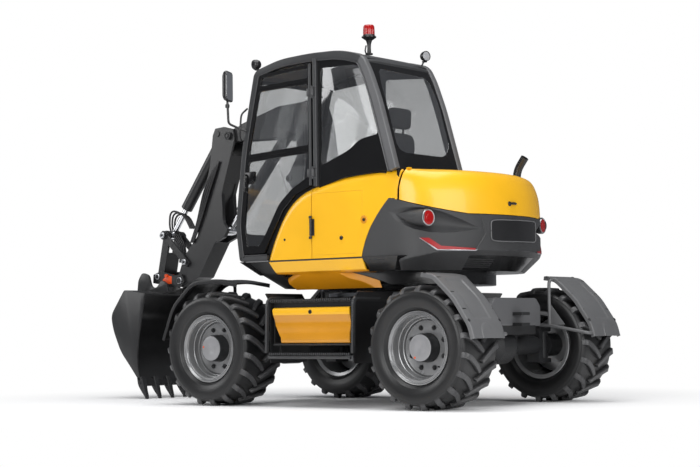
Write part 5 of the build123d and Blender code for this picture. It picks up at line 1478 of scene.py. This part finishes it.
seat_y = 0.505
seat_pads = [
    cushion((slew_x - 0.165, seat_y, 1.545), (0.245, 0.235, 0.062), 0.0, (0.45, -0.5)),
    cushion((slew_x - 0.455, seat_y, 1.895), (0.330, 0.220, 0.060), radians(101), (-0.35, 0.4)),
    cushion((slew_x - 0.530, seat_y, 2.335), (0.085, 0.130, 0.048), radians(94)),
]
pads = put_piece("seat_pads", seat_pads, seat_cloth, "turret", ["cab_seat"], 50)
box_outline = [(-0.38, 1.25), (-0.06, 1.25), (-0.10, 1.49), (-0.34, 1.49)]
base = [placed(plate(box_outline, seat_y - 0.17, seat_y + 0.17, "xzy", 0.01))]
for y in (seat_y + 0.06, seat_y - 0.06):
    base.append(bent_tube([(slew_x - 0.512, y, 2.18), (slew_x - 0.530, y, 2.29)], 0.008, 0.01, (1, 0, 0)))
put_piece("seat_base", base, black_moulding, "turret")


# Lamps, beacon and mirror. Pressed and moulded housings on short stalks round the roof
lamp_black = finish("lamp_black", (0.010, 0.010, 0.011), 0.28, drift=0.1)
lamp_face = finish("lamp_face", (0.75, 0.76, 0.78), 0.15, metallic=0.6, drift=0.05)
shade_profile = [
    (0, -0.028), (0.020, -0.028), (0.034, -0.018), (0.041, 0.0), (0.043, 0.022), (0.0425, 0.028),
    (0.039, 0.0285), (0.038, 0.022), (0, 0.021),
]
face_profile = [(0, 0.020), (0.0375, 0.020), (0.0375, 0.0245), (0.020, 0.0275), (0, 0.028)]
shells, faces_lit = [], []
# Columns: middle of the lamp, where it faces, foot of its stalk
for spot, facing, stalk in (
    ((0.672, 0.890, 2.862), (1, 0, 0), (0.645, 0.890, 2.79)),
    ((-0.510, 0.120, 2.892), (-1, 0.25, 0.05), (-0.480, 0.120, 2.815)),
):
    spot = np.array(spot) + [slew_x, 0, 0]
    facing = np.array(facing, float)
    shells.append(turned(shade_profile, 40, spot, facing))
    faces_lit.append(turned(face_profile, 40, spot, facing))
    stalk_line = [np.array(stalk) + [slew_x, 0, 0], spot - [0, 0, 0.030]]
    shells.append(bent_tube(stalk_line, 0.007, 0.01, (0, 1, 0)))
    foot_line = np.array([(-0.018, -0.012), (0.018, -0.012), (0.018, 0.012), (-0.018, 0.012)]) + spot[:2]
    shells.append(plate(foot_line, spot[2] - 0.050, spot[2] - 0.038, "xyz", 0.002))
put_piece("work_lamp_housings", shells, lamp_black, "turret", ["work_lamps"], 40)
put_piece("work_lamp_faces", faces_lit, lamp_face, "turret")
beacon_spot = np.array([slew_x - 0.300, 0.600, 2.872])
base_profile = [
    (0, 0), (0.030, 0), (0.032, 0.010), (0.017, 0.016), (0.015, 0.060), (0.017, 0.090), (0.026, 0.118),
    (0.050, 0.135), (0.060, 0.142), (0.061, 0.150), (0.052, 0.154), (0.047, 0.166), (0, 0.166),
]
lead_line = beacon_spot + np.array([(0.01, 0.02, 0.0), (0.015, 0.035, 0.03), (0.008, 0.028, 0.075)])
beacon_base = turned(base_profile, 56, beacon_spot, (0, 0, 1))
beacon_lead = bent_tube(lead_line, 0.006, 0.012, (1, 0, 0))
put_piece("beacon_base", [beacon_base, beacon_lead], lamp_black, "turret", ["beacon"], 35)
# The red dome has twelve upright flutes below its rounded top. Columns: radius, height
ribs = np.linspace(0, 2 * np.pi, 96, endpoint=False)[None, :]
dome_rows = np.array(
    [
        (0.046, 0.160), (0.0465, 0.175), (0.046, 0.205), (0.044, 0.232), (0.041, 0.240), (0.036, 0.246),
        (0.012, 0.250), (0.0005, 0.2505),
    ]
)
flute = np.sign(np.cos(12 * ribs)) * np.abs(np.cos(12 * ribs)) ** 0.5 * (dome_rows[:, 1:] < 0.236)
dome_radius = dome_rows[:, :1] * (1 + 0.035 * flute)
dome = np.stack([dome_radius * np.cos(ribs), dome_radius * np.sin(ribs), dome_rows[:, 1:] + 0 * ribs], -1)
dome = dome.reshape(-1, 3) + beacon_spot
put_piece("beacon_dome", [(dome, grid_faces(8, 96, False, True))], red_glow, "turret", (), 35)
head_loop = box_section(0.085, 0.125, 0.035)
head_spot = np.array([slew_x + 0.905, 1.010, 2.685])
# Columns: share of the outline's size, depth
back_rows = [
    (0.0, 0.022), (1.0, 0.022), (1.02, 0.016), (1.02, 0.006), (0.96, -0.008), (0.80, -0.020),
    (0.45, -0.027), (0.0, -0.028),
]
toe_in = 0.42
lean_in = np.array([[np.cos(toe_in), np.sin(toe_in), 0], [-np.sin(toe_in), np.cos(toe_in), 0], [0, 0, 1]])


def mirror_head(rows):
    """The head's rounded outline at each row's share of its size and depth, turned to the seat."""
    layers = [
        np.column_stack([np.full(len(head_loop), -depth), head_loop * share]) for share, depth in rows
    ]
    points = (np.stack(layers) @ lean_in + head_spot).reshape(-1, 3)
    return points, grid_faces(len(rows), len(head_loop), False, True)


arm_line = [
    (slew_x + 0.745, 0.948, 2.300), (slew_x + 0.800, 0.985, 2.325), (slew_x + 0.895, 1.008, 2.370),
    (slew_x + 0.908, 1.010, 2.640),
]
stay_line = [
    (slew_x + 0.800, 0.955, 2.22), (slew_x + 0.790, 0.985, 2.26), (slew_x + 0.770, 0.985, 2.44),
    (slew_x + 0.730, 0.948, 2.49),
]
clamp_profile = [(0, -0.014), (0.017, -0.014), (0.019, 0), (0.017, 0.014), (0, 0.014)]
mirror_shells = [
    mirror_head(back_rows),
    bent_tube(arm_line, 0.010, 0.03, (0.3, 1, 0)),
    bent_tube(stay_line, 0.008, 0.03, (1, 0, 0)),
    turned(clamp_profile, 24, (slew_x + 0.904, 1.010, 2.520), (0, 0, 1)),
]
put_piece("mirror_housing", mirror_shells, lamp_black, "turret", ["mirror"], 40)
mirror_glass = finish("mirror_glass", (0.80, 0.81, 0.83), 0.04, metallic=1.0, drift=0.02)
pane_rows = [(0.93, 0.020), (0.93, 0.0235), (0.0, 0.0245)]
put_piece("mirror_pane", [mirror_head(pane_rows)], mirror_glass, "turret")

# Exhaust: a black tube through the fixed cover, bent back and cut open at its end. The hood's
# latch is a pressed handle beside a key barrel.
pipe_line = rounded(
    [(slew_x - 0.960, -0.560, 1.72), (slew_x - 0.960, -0.560, 1.945), (slew_x - 1.045, -0.560, 2.055)], 0.07
)
points, faces = carried(pipe_line, circle(0.034, 28), (0, 1, 0))
inner, inner_faces = carried(pipe_line[4:], circle(0.030, 28), (0, 1, 0))
outer_rim, inner_rim = points[-28:], inner[-28:]
lip = np.concatenate([outer_rim, inner_rim])
pipe_shells = [(points, faces[:-1]), (inner, inner_faces[:-1]), (lip, grid_faces(2, 28, False, True))]
collar_profile = [(0.0345, 0), (0.052, 0), (0.054, 0.006), (0.040, 0.014), (0.0345, 0.014)]
pipe_shells.append(turned(collar_profile, 40, (slew_x - 0.960, -0.560, 1.878), (0, 0, 1), closed=True))
put_piece("exhaust_tube", pipe_shells, front_black, "turret", ["exhaust_pipe"], 40)
latch_spot = house_points(np.array([radians(178.8)]), np.array([1.62]), 0.008)[0]
handle_line = np.array([(-0.004, -0.045, 0.004), (-0.016, 0.0, 0.006), (-0.004, 0.050, 0.0)])
barrel_profile = [(0, -0.012), (0.020, -0.012), (0.020, 0.004), (0.014, 0.010), (0, 0.010)]
latch_shells = [
    bent_tube(latch_spot + handle_line, 0.010, 0.02, (0, 0, 1)),
    turned(barrel_profile, 28, latch_spot + [0, 0.040, 0], (-1, 0, 0)),
]
put_piece("hood_latch", latch_shells, lamp_black, "hood")


# Steps: toothed treads over and under the toolbox, guards at its ends, and the dished lid
def blocks(spots, half):
    """Many like boxes: eight corners each, at the given middles."""
    corner = np.array([(x, y, z) for x in (-1, 1) for y in (-1, 1) for z in (-1, 1)]) * half
    points = np.asarray(spots)[:, None] + corner[None]
    sides = np.array([(0, 1, 3, 2), (4, 6, 7, 5), (0, 4, 5, 1), (2, 3, 7, 6), (0, 2, 6, 4), (1, 5, 7, 3)])
    return points.reshape(-1, 3), (sides[None] + 8 * np.arange(len(points))[:, None, None]).reshape(-1, 4)


lid_line = eased(
    [
        (1.007, 0.521), (1.028, 0.524), (1.028, 0.585), (1.027, 0.605), (1.012, 0.655), (1.010, 0.700),
        (1.0285, 0.752), (1.029, 0.790), (1.022, 0.806), (1.007, 0.809),
    ],
    3,
)
lid_line = dense(lid_line, 0.004)
# The lid's dished lower band faces down: its orange is the yellow paint darkened as painted shade.
lid_yellow_painted_shade = finish("lid_yellow_painted_shade", (0.60, 0.25, 0.004), 0.30, coat=0.4, drift=0.06, edge=0.002)
strip_start = int((lid_line[:, 1] < 0.748).sum())
# Columns: distance from the middle, height, half size of a tooth
tread_rows = [
    (1.026, 0.868, (0.0060, 0.012, 0.009)),
    (1.044, 0.434, (0.0060, 0.012, 0.009)),
    (0.86, 0.868, (0.0060, 0.012, 0.007)),
]
lock_profile = [(0, 0), (0.017, 0), (0.017, 0.004), (0.013, 0.006), (0.011, 0.002), (0, 0.002)]
for side, name in ((1, "left"), (-1, "right")):
    z = lid_line[:, 1:]
    front = np.interp(
        z, [0.521, 0.565, 0.600, 0.665, 0.790, 0.809], [0.312, 0.314, 0.336, 0.384, 0.404, 0.398]
    )
    rear = np.interp(z, [0.521, 0.790, 0.809], [-0.404, -0.404, -0.398])
    x = rear + (front - rear) * np.linspace(0, 1, 70)[None, :]
    lid_grid = np.stack([slew_x + x, side * (lid_line[:, :1] + 0 * x), z + 0 * x], -1)
    hinge_line = [(slew_x - 0.39, side * 1.012, 0.509), (slew_x + 0.30, side * 1.012, 0.509)]
    hinge = carried(hinge_line, circle(0.008, 12))
    low_band = rimmed(lid_grid[: strip_start + 1], 0.014)
    top_strip = rimmed(lid_grid[strip_start:], 0.014)
    lid, solid = "lid_" + name, "toolbox_lid_" + name
    put_piece("toolbox_lid_band_" + name, [low_band, hinge], lid_yellow_painted_shade, lid, [solid], 26)
    put_piece("toolbox_lid_strip_" + name, [top_strip], yellow, lid, (), 26)
    lock = turned(lock_profile, 28, (slew_x, side * 1.028, 0.772), (0, side, 0))
    put_piece("toolbox_lock_" + name, [lock], lamp_black, lid)
    along_x = slew_x + np.linspace(-0.415, 0.415, 40)
    teeth = []
    for y, tooth_z, tooth_half in tread_rows:
        spots = np.column_stack([along_x, np.full(40, side * y), np.full(40, tooth_z)])
        teeth.append(blocks(spots, tooth_half))
    for end in (-1, 1):
        guard_x = slew_x + end * 0.452
        guard = [
            (guard_x, side * 0.70, 0.885), (guard_x, side * 1.034, 0.885), (guard_x, side * 1.046, 0.44)
        ]
        teeth.append(carried(rounded(guard, 0.07), box_section(0.018, 0.010, 0.006), (1, 0, 0)))
    rail_line = [(slew_x - 0.43, side * 1.052, 0.405), (slew_x + 0.43, side * 1.052, 0.405)]
    teeth.append(bent_tube(rail_line, 0.012, 0.01))
    put_piece("step_treads_" + name, teeth, cab_grey, "chassis", (), 40)

# Rear box of the chassis: a cover of formed plate whose upper corners are cut off
box_end = [
    (-0.362, 0.637), (-0.362, 0.800), (-0.300, 0.866), (0.300, 0.866), (0.362, 0.800), (0.362, 0.637)
]
box_shells = [placed(plate(rounded_loop(box_end, 0.02), -1.303, -0.98, "yzx", 0.014))]
put_piece("rear_box_cover", box_shells, pillar_grey, "chassis", (), 30)

# Working arm: welded box beams and cast links in charcoal paint, with chromed rods. Each joint's
# pin ends in a ring and a hexagonal bolt, and rubber hoses run along boom and dipper.
chrome = finish("chrome_rod", (0.82, 0.83, 0.85), 0.08, metallic=1.0, drift=0.02)
coat_nodes(charcoal, "lower_boom", "jib", "dipper", "rocker_links", "coupler_link", "quick_coupler")
coat_nodes(charcoal, "lift_barrel", "jib_ram_barrel", "crowd_barrel", "bucket_ram_barrel")
coat_nodes(chrome, "lift_rod", "jib_ram_rod", "crowd_rod", "bucket_ram_rod")
arm_y = -0.160
# Columns: body, x, z, half width of the joint there, radius
pins = [
    ("turret", 0.740, 1.170, 0.185, 0.040),
    ("boom", 0.930, 2.580, 0.145, 0.038),
    ("jib", 1.880, 2.430, 0.116, 0.036),
    ("dipper", 2.500, 1.105, 0.128, 0.032),
    ("dipper", 2.426, 1.278, 0.142, 0.028),
    ("rocker", 2.707, 1.542, 0.146, 0.030),
    ("link", 2.790, 1.150, 0.128, 0.030),
    ("turret", 1.075, 1.150, 0.075, 0.034),
    ("boom", 1.105, 1.985, 0.148, 0.034),
]
# Columns: share of the pin's radius, reach
ring_profile = np.array(
    [(0, -0.004), (1, -0.004), (1, 0.006), (0.92, 0.009), (0.66, 0.009), (0.62, 0.004), (0, 0.004)]
)
bolt_profile = np.array([(0, 0.002), (0.44, 0.002), (0.42, 0.010), (0, 0.011)])
for number, (body, x, z, half, radius) in enumerate(pins):
    caps, rings = [], []
    for side in (1, -1):
        spot = (slew_x + x, arm_y + side * half, z)
        rings.append(turned(ring_profile * [radius, 1], 32, spot, (0, side, 0)))
        caps.append(turned(bolt_profile * [radius, 1], 6, spot, (0, side, 0)))
    ring_metal = steel if body in ("rocker", "link", "dipper") else casting
    put_piece("arm_pin_" + str(number), rings, ring_metal, body, (), 30)
    put_piece("arm_pin_bolt_" + str(number), caps, lamp_black, body, (), 30)
hose_black = finish("hose_rubber", (0.012, 0.012, 0.013), 0.45, drift=0.15)
boom_hoses, dipper_hoses = [], []
for index in range(3):
    y = arm_y + 0.150
    shift = 0.030 * index
    hose_line = [
        (slew_x + 0.86 + shift, y, 1.42), (slew_x + 0.90 + shift, y + 0.012, 1.75),
        (slew_x + 0.86 + shift, y + 0.012, 2.25), (slew_x + 0.88 + shift, y, 2.46),
    ]
    boom_hoses.append(bent_tube(hose_line, 0.010, 0.12, (0, 1, 0)))
for index in range(4):
    y = arm_y + 0.112
    shift = 0.026 * index
    hose_line = [
        (slew_x + 1.99 + shift, y, 2.20 - shift), (slew_x + 2.10 + shift, y + 0.008, 1.95),
        (slew_x + 2.24 + shift * 0.5, y + 0.006, 1.62), (slew_x + 2.33 + shift * 0.4, y, 1.46),
    ]
    dipper_hoses.append(bent_tube(hose_line, 0.009, 0.10, (0, 1, 0)))
put_piece("boom_hoses", boom_hoses, hose_black, "boom")
put_piece("dipper_hoses", dipper_hoses, hose_black, "dipper")

# Bucket: a rolled steel shell between two side plates, with ears for the coupler, a cutting
# edge and six forged teeth, each with a pin across it
bucket_back = rounded(
    [
        (2.640, 0.985), (2.915, 1.022), (3.094, 0.785), (3.060, 0.640), (2.962, 0.440), (2.840, 0.308),
        (2.718, 0.168),
    ],
    [0.020, 0.060, 0.060, 0.070, 0.050], 12,
)
bucket_back = dense(bucket_back, 0.012)
bucket_half = 0.448
bucket_wall = 0.016
tooth_count = 6
widths = np.linspace(-bucket_half, bucket_half, 24)[None, :]
shell_x, shell_y = slew_x + bucket_back[:, :1] + 0 * widths, arm_y + widths + 0 * bucket_back[:, :1]
shell_grid = np.stack([shell_x, shell_y, bucket_back[:, 1:2] + 0 * widths], -1)
inner_way = normals(shell_grid)
inner_way *= -np.sign(inner_way[len(bucket_back) // 2, 5, 0])
shells = [thickened(shell_grid, bucket_wall, inner_way)]
mouth_line = [
    (2.702, 0.178), (2.735, 0.300), (2.742, 0.420), (2.728, 0.560), (2.700, 0.700), (2.672, 0.840),
    (2.655, 0.905),
]
side_line = np.concatenate([bucket_back, mouth_line])
ear_outline = [
    (2.590, 1.000), (2.610, 1.085), (2.680, 1.115), (2.745, 1.040), (2.815, 1.050), (2.850, 1.165),
    (2.935, 1.192), (2.990, 1.120), (3.010, 0.930), (2.900, 1.000), (2.640, 0.980),
]
ear = rounded_loop(ear_outline, [0.01, 0.03, 0.03, 0.035, 0.035, 0.03, 0.03, 0.03, 0.01, 0.01, 0.01])
for side in (1, -1):
    low, high = sorted((arm_y + side * 0.450, arm_y + side * 0.434))
    shells.append(placed(plate(side_line, low, high, "xzy", 0.003)))
    ear_y = arm_y + side * 0.1773
    low, high = sorted((ear_y - 0.013, ear_y + 0.013))
    shells.append(placed(plate(ear, low, high, "xzy", 0.003)))
lip_outline = [(2.694, 0.180), (2.730, 0.172), (2.700, 0.118), (2.676, 0.126)]
shells.append(placed(plate(lip_outline, arm_y - 0.449, arm_y + 0.449, "xzy", 0.003)))
put_piece("bucket_shell", shells, charcoal, "bucket", ["bucket"], 32)
tooth_line = np.array([(2.722, 0.200), (2.700, 0.130), (2.674, 0.075), (2.648, 0.030), (2.640, 0.002)])
tooth_depth = np.array([0.030, 0.036, 0.028, 0.017, 0.005])
tooth_width = np.array([0.031, 0.031, 0.027, 0.022, 0.019])
tooth_pin = [(0, -0.034), (0.010, -0.034), (0.010, 0.034), (0, 0.034)]
teeth = []
for index in range(tooth_count):
    y = arm_y - 0.450 + 0.031 + index * (0.900 - 0.062) / (tooth_count - 1)
    path = np.stack([slew_x + tooth_line[:, 0], np.full(5, y), tooth_line[:, 1]], -1)
    fine_path = dense(path, 0.01)
    places = np.linspace(0, 4, len(fine_path))
    girth = np.column_stack([np.interp(places, range(5), column) for column in (tooth_depth, tooth_width)])
    teeth.append(carried(fine_path, box_section(1, 1, 0.45, 4), (0, 1, 0), spread=girth))
    teeth.append(turned(tooth_pin, 14, (slew_x + 2.706, y, 0.148), (0, 1, 0)))
put_piece("bucket_teeth", teeth, casting, "bucket", (), 32)

# Linkage: four rubber hoses loop over the coupler, and a painted lock holds its hook
loops = []
for index in range(4):
    y = arm_y - 0.03 + 0.022 * index
    loop_places = [
        (2.44, 1.60), (2.53, 1.74), (2.66 + 0.015 * index, 1.73 + 0.02 * index),
        (2.69 + 0.01 * index, 1.60), (2.56, 1.42), (2.58, 1.28),
    ]
    loop_line = [(slew_x + x, y, z) for x, z in loop_places]
    loops.append(bent_tube(loop_line, 0.009, 0.08, (0, 1, 0)))
put_piece("coupler_hoses", loops, hose_black, "dipper")
lock_orange = finish("lock_orange", (0.72, 0.075, 0.01), 0.35, drift=0.06, edge=0.002)
lock_outline = [(2.60, 1.075), (2.72, 1.075), (2.72, 1.125), (2.66, 1.160), (2.60, 1.150)]
lock_pin = [(0, -0.05), (0.016, -0.05), (0.016, 0.05), (0, 0.05)]
lock = [
    placed(plate(lock_outline, arm_y + 0.06, arm_y + 0.130, "xzy", 0.006)),
    turned(lock_pin, 20, (slew_x + 2.66, arm_y + 0.10, 1.155), (0, 1, 0)),
]
put_piece("coupler_lock", lock, lock_orange, "bucket")
